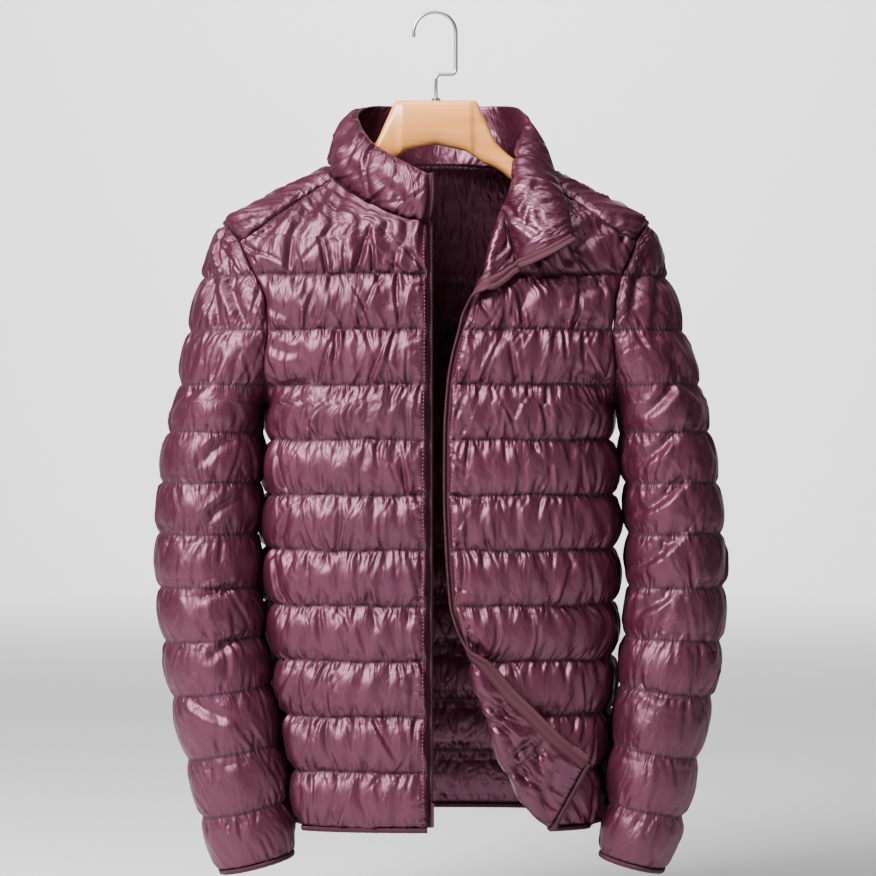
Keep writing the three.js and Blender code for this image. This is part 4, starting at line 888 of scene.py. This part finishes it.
left_raw, folded, left_turn = left_curves(heights)
front_left_grid, run = even(left_raw, FRONT_COLUMNS + 22)
front_left_grid = eased(front_left_grid, np.minimum(run, run[:, -1:] - run))
to_side = run[:, -1:] - run
line = yoke_line(front_left_grid, lines, front_top(np.abs(front_left_grid[..., 0])))
line = np.where((lines[:, None] >= CHANNELS) & (run < folded[:, None]),
                CHANNELS + np.clip((heights[:, None] - FIRST_LINE) / 90, 0, 0.999), line)
above = np.broadcast_to((lines >= CHANNELS)[:, None], line.shape)
fade = seam_fade(to_side, 13) * seam_fade(run, 8)
fade *= lerp(1, pit_fade(front_left_grid), smooth((60 - to_side) / 40))
turned = smooth(left_turn / 120)[:, None] * smooth((folded[:, None] + 16 - run) / 14)
height = lerp(PUFF, TURNED_PUFF, turned)
under_collar = smooth((front_left_grid[..., 2] + 262) / 30) * smooth((130 - front_left_grid[..., 0]) / 30)
height *= lerp(1, 0.3, under_collar * (1 - turned))
CREASES_LEFT = [
    (150, -206, 92, -272, 4.5, 8), (176, -226, 120, -272, 4, 7), (126, -262, 84, -312, 3.5, 7),
    (172, -330, 120, -318, 3, 5), (170, -292, 126, -302, 3, 6), (176, -390, 120, -372, 3.5, 6),
    (88, -300, 58, -352, 3, 6),
]
dents = creases(front_left_grid, CREASES_LEFT) * fade * (1 - turned)
outer = blended(front_left_grid, line, run, height, fade, 2, above)
_, _, out = directions(front_left_grid)
way = column_run(front_left_grid)
pucker = edge_folds(run, way, 4) + edge_folds(to_side, way, 1) * above
outer += out * (pucker * fade - dents)[..., None]
LAPEL_CREASES = [
    (52, -300, 92, -262, 3.4, 3), (50, -282, 84, -250, 3, 2.6), (56, -262, 80, -236, 2.6, 2.6),
    (37, -664, 53, -677, 2.6, 3), (44, -699, 104, -736, 5, 4.5), (61, -727, 76, -735, 3, 3),
    (73, -764, 103, -789, 4.4, 3.6), (102, -739, 76, -762, 4.6, 4), (105, -736, 105, -780, 3.8, 3.4),
    (124, -764, 112, -795, 3.4, 3), (105, -783, 116, -815, 3.6, 3.2), (84, -768, 96, -800, 3, 2.6),
    (60, -700, 84, -706, 2.6, 2.6), (88, -745, 96, -764, 2.4, 2.2),
]
shown = creases(front_left_grid, LAPEL_CREASES) * turned
inner = lining_of(front_left_grid, np.minimum(line, CHANNELS), run, fade * lerp(0.6, 1, turned) * seam_fade(run - 9, 9), 6,
                  lerp(2.6, 5, turned), lerp(0.8, 1.2, turned))
inner += out * (shown * 1.4 * seam_fade(run - 9, 6))[..., None]
way = column_run(front_left_grid)
front_left = wall_object("front_left", [wall_parts(outer, inner, run, way, seam_distance(line))])


stitches("zip_stitches_left", outer, out, 3, int((heights < -600).sum()), int((heights < -335).sum()))


# Back, with the shoulders' strips over to the forward seams
SHOULDER_ROWS = 36
low_heights = np.concatenate([body_rows, np.linspace(FIRST_LINE, TIP, 31)[1:]])
low_lines = np.concatenate([body_line, CHANNELS + np.zeros(30)])
gap = np.where(low_heights > -230, 0, GAP_ANGLE)
at_top = low_heights >= TIP - 1e-6
start = np.where(at_top, np.pi / 2, side_angle("left", "back", low_heights)) + gap
end = FULL_TURN + np.where(at_top, -np.pi / 2, side_angle("right", "back", low_heights)) - gap
raw_low = torso(lerp(start[:, None], end[:, None], np.linspace(0, 1, 460)), low_heights[:, None])
shares = np.linspace(0, 1, SHOULDER_ROWS + 1)[1:, None]
s = np.linspace(0, 1, 460)[None, :]
angle = lerp(np.pi / 2, 1.5 * np.pi, s)
neck_height = lerp(NECK_POINT, -152, smooth((np.pi / 2 - np.abs(np.pi - angle)) * 0.7))
ridge = lerp(TIP, NECK_POINT, shares)
height_here = lerp(ridge, lerp(TIP, neck_height, shares), smooth(np.minimum(s, 1 - s) * 6))
raw_high = torso(np.broadcast_to(angle, height_here.shape), height_here)
back_grid, run = even(np.concatenate([raw_low, raw_high]), BACK_COLUMNS)
back_rows = len(back_grid)
ridge_row = len(low_heights) - 1
from_middle = run - run[:, -1:] / 2
share_up = np.clip((back_grid[..., 2] - FIRST_LINE) / (-150 - FIRST_LINE), 0, 0.999)
back_line = np.concatenate([low_lines, CHANNELS + np.zeros(SHOULDER_ROWS)])[:, None]
line = np.where(back_line >= CHANNELS, CHANNELS + share_up, back_line)
above = np.broadcast_to(back_line >= CHANNELS, line.shape)
edge_way = np.minimum(run, run[:, -1:] - run)
open_edge = (np.arange(back_rows) < ridge_row)[:, None]
top_way = np.linalg.norm(back_grid - back_grid[-1:], axis=2)
fade = np.where(open_edge, seam_fade(edge_way, 13), 1) * seam_fade(top_way, 12)
fade *= lerp(1, pit_fade(back_grid), smooth((60 - edge_way) / 40))
tip_way = np.linalg.norm(back_grid - back_grid[ridge_row, :1], axis=2)
tip_way = np.minimum(tip_way, np.linalg.norm(back_grid - back_grid[ridge_row, -1:], axis=2))
fade = np.minimum(fade, lerp(fade, seam_fade(tip_way, 16), smooth((30 - tip_way) / 14)))
height = lerp(YOKE_PUFF, PUFF, smooth(edge_way / 50 + np.where(open_edge, 1, 0)))
CREASES_BACK = [
    (-90, -178, -120, -262, 4, 7), (90, -178, 122, -262, 4, 7), (-150, -205, -160, -270, 3.5, 6),
    (150, -205, 160, -270, 3.5, 6), (-40, -166, -52, -268, 3, 7), (44, -166, 40, -262, 3, 7),
    (-176, -330, -130, -318, 3, 6), (178, -340, 132, -326, 3, 6), (-170, -395, -110, -372, 3.5, 6),
    (176, -395, 116, -376, 3.5, 6), (0, -168, 6, -262, 2.5, 7),
]
dents = creases(back_grid, CREASES_BACK) * fade * (back_grid[..., 1] > 20)
outer_back = blended(back_grid, line, from_middle, height, fade, 3, above)
_, _, out = directions(back_grid)
outer_back -= out * dents[..., None]
inner_back = lining_of(back_grid, line, from_middle, fade * ~above, 7, 3.6, 1.1)
way = column_run(back_grid)
back_parts = [wall_parts(outer_back, inner_back, from_middle, way, seam_distance(line))]

yokes = {}
for side, sign, column in (("right", -1, -1), ("left", 1, 0)):
    fall = np.linspace(0, 1, YOKE_COLUMNS)[None, :]
    z_edge = lerp(TIP, FRONT_CORNER, fall)
    spans = np.pi / 2 - np.abs(armhole_angle(side, "front", z_edge))
    spans[:, 0] = 0
    all_shares = np.concatenate([[[0]], shares])
    seam_z = lerp(FRONT_CORNER, -174, all_shares)
    seam_x = at(SHOULDER_SEAM, "x", seam_z) + 0.3
    seam_angle = np.where(all_shares > 0, np.abs(front_angle(side, seam_x, seam_z)), np.pi / 2 - spans[:, -1:])
    angle = lerp(np.pi / 2, seam_angle, spans / spans[:, -1:])
    grid = torso(sign * angle, lerp(lerp(TIP, NECK_POINT, all_shares), seam_z, fall))
    grid[:, 0] = back_grid[ridge_row:, column]
    yokes[side] = grid
    step = np.linalg.norm(np.diff(grid, axis=1), axis=2)
    across_way = np.concatenate([np.zeros((len(grid), 1)), np.cumsum(step, 1)], 1)
    from_seam = across_way[:, -1:] - across_way
    rows_way = np.minimum(column_run(grid), column_run(grid)[-1:] - column_run(grid))
    ridge_line = line[ridge_row:, [column]]
    yoke_line_here = np.clip(ridge_line + fall * 0.06, CHANNELS, CHANNELS + 0.999)
    run_here = from_middle[ridge_row:, [column]] - sign * across_way
    yoke_fade = seam_fade(from_seam, 11) * seam_fade(rows_way, 11)
    yoke_fade[:, 0] = fade[ridge_row:, column]
    yoke_fade = np.minimum(yoke_fade, 1)
    if side == "left":
        grid, yoke_line_here, run_here, yoke_fade = [a[:, ::-1] for a in (grid, yoke_line_here, run_here, yoke_fade)]
    full = np.ones_like(yoke_fade, bool)
    raised = blended(grid, yoke_line_here, run_here, YOKE_PUFF * np.ones_like(yoke_fade), yoke_fade, 3, full)
    _, _, yoke_out = directions(grid)
    from_seam_here = from_seam[:, ::-1] if side == "left" else from_seam
    raised += yoke_out * (edge_folds(from_seam_here, column_run(grid) * 1.2, 2, 30) * yoke_fade * 1.2)[..., None]
    join = -1 if side == "left" else 0
    raised[:, join] = outer_back[ridge_row:, column]
    inside = grid.copy()
    inside[:, join] = inner_back[ridge_row:, column]
    back_parts.append(wall_parts(raised, inside, run_here, column_run(grid), np.full(grid.shape[:2], 20.0)))

back = wall_object("back", back_parts)


# Sleeves
CAP_TOP = [-223.6, -222.5, -221.6, -220.8, -220.2]


def sleeve_heights():
    z, slope, line = [], [], []
    spans = zip(SLEEVE_LINES[:-1], SLEEVE_LINES[1:])
    for k, ((z0, a0), (z1, a1)) in enumerate(spans):
        t = np.arange(26) / 26
        z.append(lerp(z0, z1, t))
        slope.append(lerp(a0, a1, t))
        line.append(k + t)
    z, slope, line = np.concatenate(z + [CAP_TOP]), np.concatenate(slope + [[0] * 5]), np.concatenate(line + [[11.999] * 5])
    pit = int(np.argmin(np.abs(z - PIT)))
    pit += pit % 2
    z[pit] = PIT
    return z, slope, line, pit + 1


def sleeve_grid(side, z, slope):
    """Rings of the sleeve; above the underarm they open to the armhole's edges."""
    turn = np.linspace(-1, 1, 361)[None, :] * (1 if side == "left" else -1)
    rows = SLEEVE[side]
    z, tilt = z[:, None], np.tan(np.radians(slope))[:, None]
    edge = at(rows, "outer", z - 38 * tilt)
    share = armhole_share(z)
    result = []
    for half in ("front", "back"):
        low = (edge - at(rows, "inner", z + 38 * tilt)) / 2
        high = (edge - at(ARMHOLE[side], half, z)) / np.maximum(1 - share, 1e-3)
        radius = np.where(z > PIT, high, low)
        depth = np.where(z > PIT, ARMHOLE_DEPTH[half], at(rows, "halfDepth", z))
        swing = turn * np.where(z > PIT, np.arccos(share), np.pi)
        away = (0.6 + (1 - share) * CLOTH * 0.4) * smooth((np.abs(turn) - 0.75) * 4) * smooth((z - PIT) / 6)
        across = edge - radius * (1 - np.cos(swing)) + away
        drop = radius * np.cos(swing) * tilt
        y = at(rows, "middleY", z) + depth * np.sin(swing)
        result.append(points((-1 if side == "right" else 1) * across, y, z - drop))
    return np.where((turn < 0)[..., None], result[0], result[1])


CREASES_SLEEVE = {
    "right": [(-190, -640, -228, -664, 4.5, 5.1), (-196, -590, -240, -606, 4.5, 5.1), (-262, -410, -214, -352, 5.2, 6),
              (-196, -500, -236, -528, 4.5, 5.1), (-205, -440, -238, -470, 4.5, 5.1), (-252, -700, -200, -726, 3.9, 5.1),
              (-212, -250, -190, -330, 5.2, 5.1), (-226, -262, -214, -340, 4.5, 5.1)],
    "left": [(206, -470, 244, -430, 6.5, 5.1), (204, -520, 256, -474, 6.5, 5.1), (202, -575, 250, -530, 5.9, 5.1),
             (204, -620, 246, -588, 5.2, 5.1), (210, -420, 240, -385, 5.2, 5.1), (262, -400, 232, -356, 5.2, 6),
             (214, -250, 196, -330, 5.2, 5.1), (230, -262, 222, -345, 4.5, 5.1), (206, -690, 250, -706, 3.9, 5.1)],
}
sleeve_z, sleeve_slope, sleeve_line, ringed = sleeve_heights()
sleeve_bottoms = {}
for side, seed in (("right", 5), ("left", 9)):
    raw = sleeve_grid(side, sleeve_z, sleeve_slope)
    grid, run = even(raw, SLEEVE_COLUMNS)
    grid[:ringed, -1] = grid[:ringed, 0]
    grid = eased(grid, np.minimum(run, run[:, -1:] - run))
    grid[:ringed, -1] = grid[:ringed, 0]
    line = np.broadcast_to(sleeve_line[:, None], run.shape) + 0.0
    from_outer = run - run[:, -1:] / 2
    edge_way = np.minimum(run, run[:, -1:] - run)
    is_open = (sleeve_z > PIT)[:, None]
    fade = np.where(is_open, seam_fade(edge_way, 14), seam_fade(edge_way, 9))
    fade *= lerp(1, pit_fade(grid), smooth((70 - edge_way) / 40))
    top_way = column_run(grid)[-1:] - column_run(grid)
    fade *= seam_fade(top_way, 16)
    cap = line >= 11
    low = raise_cloth(grid, line, from_outer, SLEEVE_PUFF, fade, seed, ringed)
    high = raise_cloth(grid, line, from_outer, SLEEVE_PUFF, fade, seed, ringed, tall)
    outer = np.where(cap[..., None], high, low)
    _, _, out = directions(grid, ringed)
    dents = creases(grid, CREASES_SLEEVE[side]) * fade * (out[..., 1] < 0.3)
    pucker = edge_folds(edge_way, column_run(grid), seed, 16) * is_open + edge_folds(top_way, run, seed + 1, 20)
    outer += out * (pucker * fade - dents)[..., None]
    outer[:ringed, -1] = outer[:ringed, 0]
    inner = grid - out * 0.2
    inner[:ringed, -1] = inner[:ringed, 0]
    part = wall_parts(outer, inner, from_outer + 400, column_run(grid), seam_distance(line), ringed)
    wall_object("sleeve_" + side, [part])
    sleeve_bottoms[side] = grid


# Collar on the neck seam
def neck_seam():
    upper = heights >= -226 - 1e-6
    chain = [front_right_grid[upper, -1], yokes["right"][-1, ::-1], back_grid[-1, ::-1], yokes["left"][-1],
             front_left_grid[upper, 0][::-1]]
    path = np.concatenate(chain)
    keep = np.concatenate([[True], np.linalg.norm(np.diff(path, axis=0), axis=1) > 0.4])
    return path[keep]


COLLAR_ROWS = 44
seam_path = even(neck_seam()[None], 300)[0][0]
seam_path[1:-1] = (seam_path[:-2] + 2 * seam_path[1:-1] + seam_path[2:]) / 4
step = np.linalg.norm(np.diff(seam_path, axis=0), axis=1)
seam_run = np.concatenate([[0], np.cumsum(step)])
seam_share = seam_run / seam_run[-1]
middle = points(*[at(COLLAR, name, seam_share, "share") for name in ("midX", "midY", "midZ")])
top = points(*[at(COLLAR, name, seam_share, "share") for name in ("topX", "topY", "topZ")])
foot = seam_path + COLLAR_FOOT * unit(middle - seam_path)
t = np.linspace(0, 1, COLLAR_ROWS + 1)[:, None, None]
collar_grid = foot * (1 - t) * (1 - 2 * t) + middle * 4 * t * (1 - t) + top * t * (2 * t - 1)
collar_grid = collar_grid[:, ::-1]
collar_way = seam_run[::-1][None, :] + np.zeros((COLLAR_ROWS + 1, 1))
up_way = column_run(collar_grid)
fade = seam_fade(up_way, 10) * seam_fade(up_way[-1:] - up_way, 9)
ends = np.minimum(collar_way, seam_run[-1] - collar_way)
fade *= seam_fade(ends, 8)
line = 20 + np.broadcast_to(np.linspace(0, 0.999, COLLAR_ROWS + 1)[:, None], fade.shape)
turned = smooth((seam_share[::-1] - 0.66) / 0.08)[None, :]
height = lerp(COLLAR_PUFF, TURNED_PUFF, turned)
outer = raise_cloth(collar_grid, line, collar_way, height, fade, 1, cloth=tall)
_, _, out = directions(collar_grid)
COLLAR_CREASES_OUT = [(-20, -214, -62, -176, 2.5, 5), (-60, -200, -86, -160, 2.5, 5), (-84, -170, -92, -130, 2.5, 5),
                      (-40, -206, -30, -180, 2, 5)]
outer -= out * (creases(collar_grid, COLLAR_CREASES_OUT) * fade * (1 - turned))[..., None]
COLLAR_CREASES_IN = [
    (68, -200, 93, -230, 5, 3.6), (93, -230, 105, -240, 3.4, 3), (68, -209, 80, -251, 4, 3), (81, -236, 86, -254, 3.4, 2.6),
    (104, -183, 95, -204, 3.4, 3), (95, -204, 89, -231, 3.6, 3.2), (72, -155, 96, -151, 3.4, 3),
    (70, -140, 89, -142, 3, 2.8), (73, -172, 82, -180, 2.6, 2.6), (100, -212, 112, -232, 2.6, 2.6),
]
_, _, rise, fold = sample(tall, line + 1, collar_way, 5)
puffed = (4.2 * rise + 0.9 * fold) * fade * seam_fade(ends - 7, 6)
dented = creases(collar_grid, COLLAR_CREASES_IN) * fade * turned
inner = collar_grid - out * (puffed * lerp(0.35, 1, turned) - dented)[..., None]
collar = wall_object("collar", [wall_parts(outer, inner, collar_way, up_way, np.full(fade.shape, 20.0))])


# Trim carried along edges
def frames_along(path, inside, out):
    """Frames on an edge: u points off it, v is the outward normal squared to the edge."""
    along = unit(np.gradient(path, axis=0))
    v = unit(out - along * (out * along).sum(-1, keepdims=True))
    u = path - inside
    u = u - along * (u * along).sum(-1, keepdims=True) - v * (u * v).sum(-1, keepdims=True)
    return path, unit(u), v


def sweep_object(name, path, u, v, profile, material, ripple=0.0, closed=False, inward=1):
    """A closed profile carried along frames, its points swelling a little in regular ripples; inward scales its
    reach on the inner side of the path."""
    step = np.linalg.norm(np.diff(path, axis=0), axis=1)
    run = np.concatenate([[0], np.cumsum(step)])
    profile = np.array(profile, float)
    middle = profile.mean(0)
    grow = 1 + ripple * (0.6 * np.sin(run / 1.35) + 0.4 * np.sin(run / 2.9 + 1))[:, None, None]
    shape = middle + (profile - middle) * grow
    across = np.where(shape[..., 0] < 0, shape[..., 0] * np.reshape(inward, (-1, 1)), shape[..., 0])[..., None]
    verts = path[:, None] + u[:, None] * across + v[:, None] * shape[..., 1:]
    rows, count = len(path), len(profile)
    index = np.arange(rows * count).reshape(rows, count)
    if closed:
        index[-1] = index[0]
    nxt = np.roll(index, -1, 1)
    quads = np.stack([p.ravel() for p in (index[:-1], nxt[:-1], nxt[1:], index[1:])], -1)
    tris = np.empty((0, 3), int)
    verts = verts.reshape(-1, 3)
    if not closed:
        verts = np.concatenate([verts, verts[:count].mean(0)[None], verts[-count:].mean(0)[None]])
        a, b = index[0], index[-1]
        first, last = np.full(count, rows * count), np.full(count, rows * count + 1)
        tris = np.concatenate([np.stack([first, np.roll(a, -1), a], -1), np.stack([last, b, np.roll(b, -1)], -1)])
    around = np.concatenate([[0], np.cumsum(np.linalg.norm(np.diff(profile, axis=0), axis=1))])
    uv = np.stack(np.broadcast_arrays(run[:, None], around[None, :]), -1).reshape(-1, 2) / 1000
    uv = np.concatenate([uv, np.zeros((len(verts) - len(uv), 2))])
    obj = new_mesh(name, verts, quads, tris, material, uv)
    face_out(obj)
    return obj


def folded_profile(half, deep, cloth):
    """A band folded round an edge: outer points there, inner points back."""
    turn = np.linspace(0, np.pi, 9)
    outer = np.stack([deep - half + half * np.sin(turn), half * np.cos(turn)], -1)
    inner = np.stack([deep - half + (half - cloth) * np.sin(turn), (half - cloth) * np.cos(turn)], -1)
    near = 0.15
    ends = [[near, -half], [near, cloth - half]], [[near, half - cloth]]
    ring = np.concatenate([[[near, half]], outer, ends[0], inner[::-1], ends[1]])
    return ring + [0, CLOTH / 2]


BINDING_PROFILE = folded_profile(2.2, 5.4, 0.7)


def bind(name, grids, closed=False):
    """Narrow elastic binding along the bottom edges of the grids."""
    paths, insides, outs = [], [], []
    for grid in grids:
        _, _, out = directions(grid, 3 if closed else 0)
        paths.append(grid[0])
        insides.append(grid[2])
        outs.append(out[0])
    path, inside, out = np.concatenate(paths), np.concatenate(insides), np.concatenate(outs)
    keep = np.concatenate([[True], np.linalg.norm(np.diff(path, axis=0), axis=1) > 0.6])
    path, inside, out = path[keep], inside[keep], out[keep]
    origin, u, v = frames_along(path, inside, out)
    if closed:
        u[0] = u[-1] = unit(u[1] + u[-2])
        v[0] = v[-1] = unit(v[1] + v[-2])
    obj = sweep_object(name, origin, u, v, BINDING_PROFILE, binding, 0.05, closed)
    return dress(obj, "jacket", [name])


hem_binding = bind("hem_binding", [front_left_grid, back_grid, front_right_grid])
cuff_right = bind("cuff_binding_right", [sleeve_bottoms["right"]], True)
cuff_left = bind("cuff_binding_left", [sleeve_bottoms["left"]], True)


def zip_path(grid, column, collar_column):
    """The zip's edge: up the front and on up the collar's end."""
    rows = heights <= -226 + 1e-6
    _, _, out = directions(grid)
    _, _, collar_out = directions(collar_grid)
    step = 2 if column < 0 else -2
    near = -1 - 2 if column < 0 else 2
    collar_near = 2 if collar_column == 0 else -3
    path = np.concatenate([grid[rows, column], collar_grid[2:, collar_column]])
    inside = np.concatenate([grid[rows, near], collar_grid[2:, collar_near]])
    normal = np.concatenate([out[rows, column], collar_out[2:, collar_column]])
    count = rows.sum()
    for _ in range(6):
        normal[1:-1] = unit(normal[:-2] + normal[1:-1] + normal[2:])
        inside[1:-1] = (inside[:-2] + inside[1:-1] * 2 + inside[2:]) / 4
    near_neck = np.exp(-((np.arange(len(path)) - count) / 5.0) ** 2)
    origin, u, v = frames_along(path, inside, normal)
    return origin - v * (0.8 * near_neck)[:, None], u, v


def coil_object(name, origin, u, v):
    """Zip coil: a small rounded loop each 1.5 mm along the tape's free edge, on its shell side."""
    step = np.linalg.norm(np.diff(origin, axis=0), axis=1)
    run = np.concatenate([[0], np.cumsum(step)])
    places = np.arange(2, run[-1] - 2, 1.5)

    def read(a):
        return np.stack([np.interp(places, run, a[:, m]) for m in range(3)], -1)

    o, across, out = read(origin), unit(read(u)), unit(read(v))
    along = unit(np.cross(across, out))
    box = np.array([[0, 0], [0, 1], [0.55, 1], [1, 0.62], [1, 0.2], [0.7, 0]])
    width, height, half = 3.3, 1.5, 0.5
    sides = []
    for way in (-half, half):
        ring = o[:, None] + across[:, None] * (TAPE_BEYOND - 3.1 + box[None, :, :1] * width)
        ring = ring + out[:, None] * (0.35 - 1.1 + box[None, :, 1:] * height) + along[:, None] * way
        sides.append(ring)
    verts = np.stack(sides, 1).reshape(-1, 3)
    base = (np.arange(len(o)) * 12)[:, None]
    k = np.arange(6)
    nxt = (k + 1) % 6
    quads = np.stack([k, nxt, nxt + 6, k + 6], -1)
    ends = np.array([[0, 3, 2, 1], [0, 5, 4, 3], [6, 7, 8, 9], [6, 9, 10, 11]])
    cell = np.concatenate([quads, ends])
    quads = (base[:, :, None] + cell[None]).reshape(-1, 4)
    obj = new_mesh(name, verts, quads, np.empty((0, 3), int), coil)
    face_out(obj)
    return dress(obj, "jacket", [])


TAPE_PROFILE = [[-8.5, -1.75], [-1.6, -1.8], [-1.0, -1.25], [-0.4, -1.25], [0.2, -2.0], [4.4, -2.0], [TAPE_BEYOND, -1.5],
                [TAPE_BEYOND, -0.7], [-8.5, -0.65]]
tapes = {}
for side, grid, column, collar_column in (("right", front_right_grid, -1, -1), ("left", front_left_grid, 0, 0)):
    # the collar grid runs from the left end to the right end
    origin, u, v = zip_path(grid, column, 0 if side == "left" else -1)
    lapel = smooth((origin[:, 2] + 292) / 24) * (side == "left")
    tapes[side] = sweep_object("zip_tape_" + side, origin, u, v, TAPE_PROFILE, tape, inward=1 - 0.5 * lapel)
    dress(tapes[side], "jacket", ["zip_tape_" + side])
    coil_object("zip_coil_" + side, origin, u, v)


# Hanger, hook and ring
def hanger_object():
    """Wooden hanger: rounded sections lofted along the arms, softer at the ends."""
    x = np.concatenate([np.linspace(0, 34, 8)[:-1], np.linspace(34, 66, 41)[:-1], np.linspace(66, 199, 42),
                        200.5 + 2.5 * np.sin(np.linspace(0, np.pi / 2, 6))])
    x = np.concatenate([-x[:0:-1], x])
    away = np.abs(x)
    tip = np.sqrt(np.clip(1 - (np.clip(away - 198, 0, 5) / 5.2) ** 2, 0.03, 1))
    top_edge, bottom = at(HANGER, "top", away), at(HANGER, "bottom", away)
    middle, half = (top_edge + bottom) / 2, (top_edge - bottom) / 2 * tip
    turn = (np.arange(40) + 0.5) * FULL_TURN / 40
    c, s = np.cos(turn), np.sin(turn)
    grow = (np.abs(c) ** 2.8 + np.abs(s) ** 2.8) ** (-1 / 2.8)
    y = at(HANGER, "y", away)[:, None] + (at(HANGER, "halfDepth", away) * tip)[:, None] * c * grow
    z = middle[:, None] + half[:, None] * s * grow
    verts = points(x[:, None], y, z)
    rows, count = verts.shape[:2]
    index = np.arange(rows * count).reshape(rows, count)
    nxt = np.roll(index, -1, 1)
    quads = np.stack([p.ravel() for p in (index[:-1], nxt[:-1], nxt[1:], index[1:])], -1)
    verts = verts.reshape(-1, 3)
    verts = np.concatenate([verts, verts[:count].mean(0)[None], verts[-count:].mean(0)[None]])
    caps = [[rows * count, b, a] for a, b in zip(index[0], np.roll(index[0], -1))]
    caps += [[rows * count + 1, a, b] for a, b in zip(index[-1], np.roll(index[-1], -1))]
    obj = new_mesh("hanger", verts, quads, np.array(caps), wood)
    face_out(obj)
    return dress(obj, "jacket", ["hanger"])


hanger = hanger_object()


def hook_object():
    """Hook wire: a crown arc, a straight side, an offset bend and the shank."""
    cx, cz = -1.2, WIRE_RADIUS - HOOK_RADIUS
    path = []
    for x, z, radius, a, b, count in (
        (cx, cz, HOOK_RADIUS, np.pi * 1.06, 0, 60),
        (cx + HOOK_RADIUS - HOOK_BEND, HOOK_DROP, HOOK_BEND, 0, -np.pi / 2, 12),
        (HOOK_BEND, HOOK_DROP - 2 * HOOK_BEND, HOOK_BEND, np.pi / 2, np.pi, 12),
    ):
        turn = np.linspace(a, b, count)
        path.append(points(x + radius * np.cos(turn), 0, z + radius * np.sin(turn)))
    path.append(np.array([[0.0, 0, SHANK_END]]))
    path = np.concatenate(path)
    along = unit(np.gradient(path, axis=0))
    v = np.broadcast_to([0.0, 1, 0], path.shape)
    u = np.cross(v, along)
    turn = np.arange(24) * FULL_TURN / 24
    profile = WIRE_RADIUS * np.stack([np.cos(turn), np.sin(turn)], -1)
    obj = sweep_object("hanger_hook", path, u, v, profile, steel)
    return dress(obj, "jacket", ["hanger_hook"])


hook_object()


def repaint(name, material):
    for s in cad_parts[name].material_slots:
        s.material = material


for name in ("zip_pin", "zip_box", "zip_slider", "zip_pull"):
    repaint(name, hardware)
repaint("hook_ferrule", steel)


# Floor, light and camera
def stage_plane():
    """Pale floor that curves up into a backdrop."""
    turn = np.linspace(0, np.pi / 2, 24)
    y = np.concatenate([[-12000], 6500 + 2500 * np.sin(turn), [9000]])
    z = np.concatenate([[-960], -960 + 2500 * (1 - np.cos(turn)), [9000]])
    x = np.linspace(-14000, 14000, 2)
    grid = points(x[:, None], y[None], z[None])
    index = np.arange(grid[..., 0].size).reshape(grid.shape[:2])
    quads = np.stack([p.ravel() for p in (index[:-1, :-1], index[1:, :-1], index[1:, 1:], index[:-1, 1:])], -1)
    pale = plain_material("studio_paper", (0.86, 0.86, 0.86), 0.9)
    return new_mesh("studio_floor", grid.reshape(-1, 3), quads, np.empty((0, 3), int), pale)


stage_plane()


def area_light(name, place, target, size, power, colour=(1, 1, 1)):
    data = bpy.data.lights.new(name, "AREA")
    data.shape, data.size, data.size_y = "RECTANGLE", *size
    data.energy, data.color = power, colour
    light = bpy.data.objects.new(name, data)
    light.location = place
    aim = bpy.data.objects.new(name + "_aim", None)
    aim.location = target
    for o in (light, aim):
        bpy.context.scene.collection.objects.link(o)
    track = light.constraints.new("TRACK_TO")
    track.target, track.track_axis, track.up_axis = aim, "TRACK_NEGATIVE_Z", "UP_Y"
    return light


MIDDLE = (0, 0, -0.45)
area_light("key", (-1.7, -1.8, 1.4), MIDDLE, (1.5, 1.5), 180)
area_light("fill", (2.2, -2.0, 0.0), MIDDLE, (1.6, 2.0), 7)
area_light("top", (0, -0.4, 1.8), MIDDLE, (1.6, 1.0), 26)
area_light("back_wash", (0, 6.5, 4.2), (0, 9.0, 0.4), (6.0, 1.5), 420)
world = bpy.data.worlds.new("studio")
bpy.context.scene.world = world
world.use_nodes = True
world.node_tree.nodes["Background"].inputs["Color"].default_value = (1, 1, 1, 1)
world.node_tree.nodes["Background"].inputs["Strength"].default_value = 0.08
bpy.context.scene.view_settings.look = "AgX - Medium High Contrast"

camera = bpy.data.objects.new("camera", bpy.data.cameras.new("camera"))
camera.data.sensor_width = 36
camera.data.lens = 118.5
camera.data.clip_end = 50
camera.location = (0.0021, -3.0, -0.4414)
camera.rotation_euler = (np.pi / 2, 0, 0)
bpy.context.scene.collection.objects.link(camera)
bpy.context.scene.camera = camera
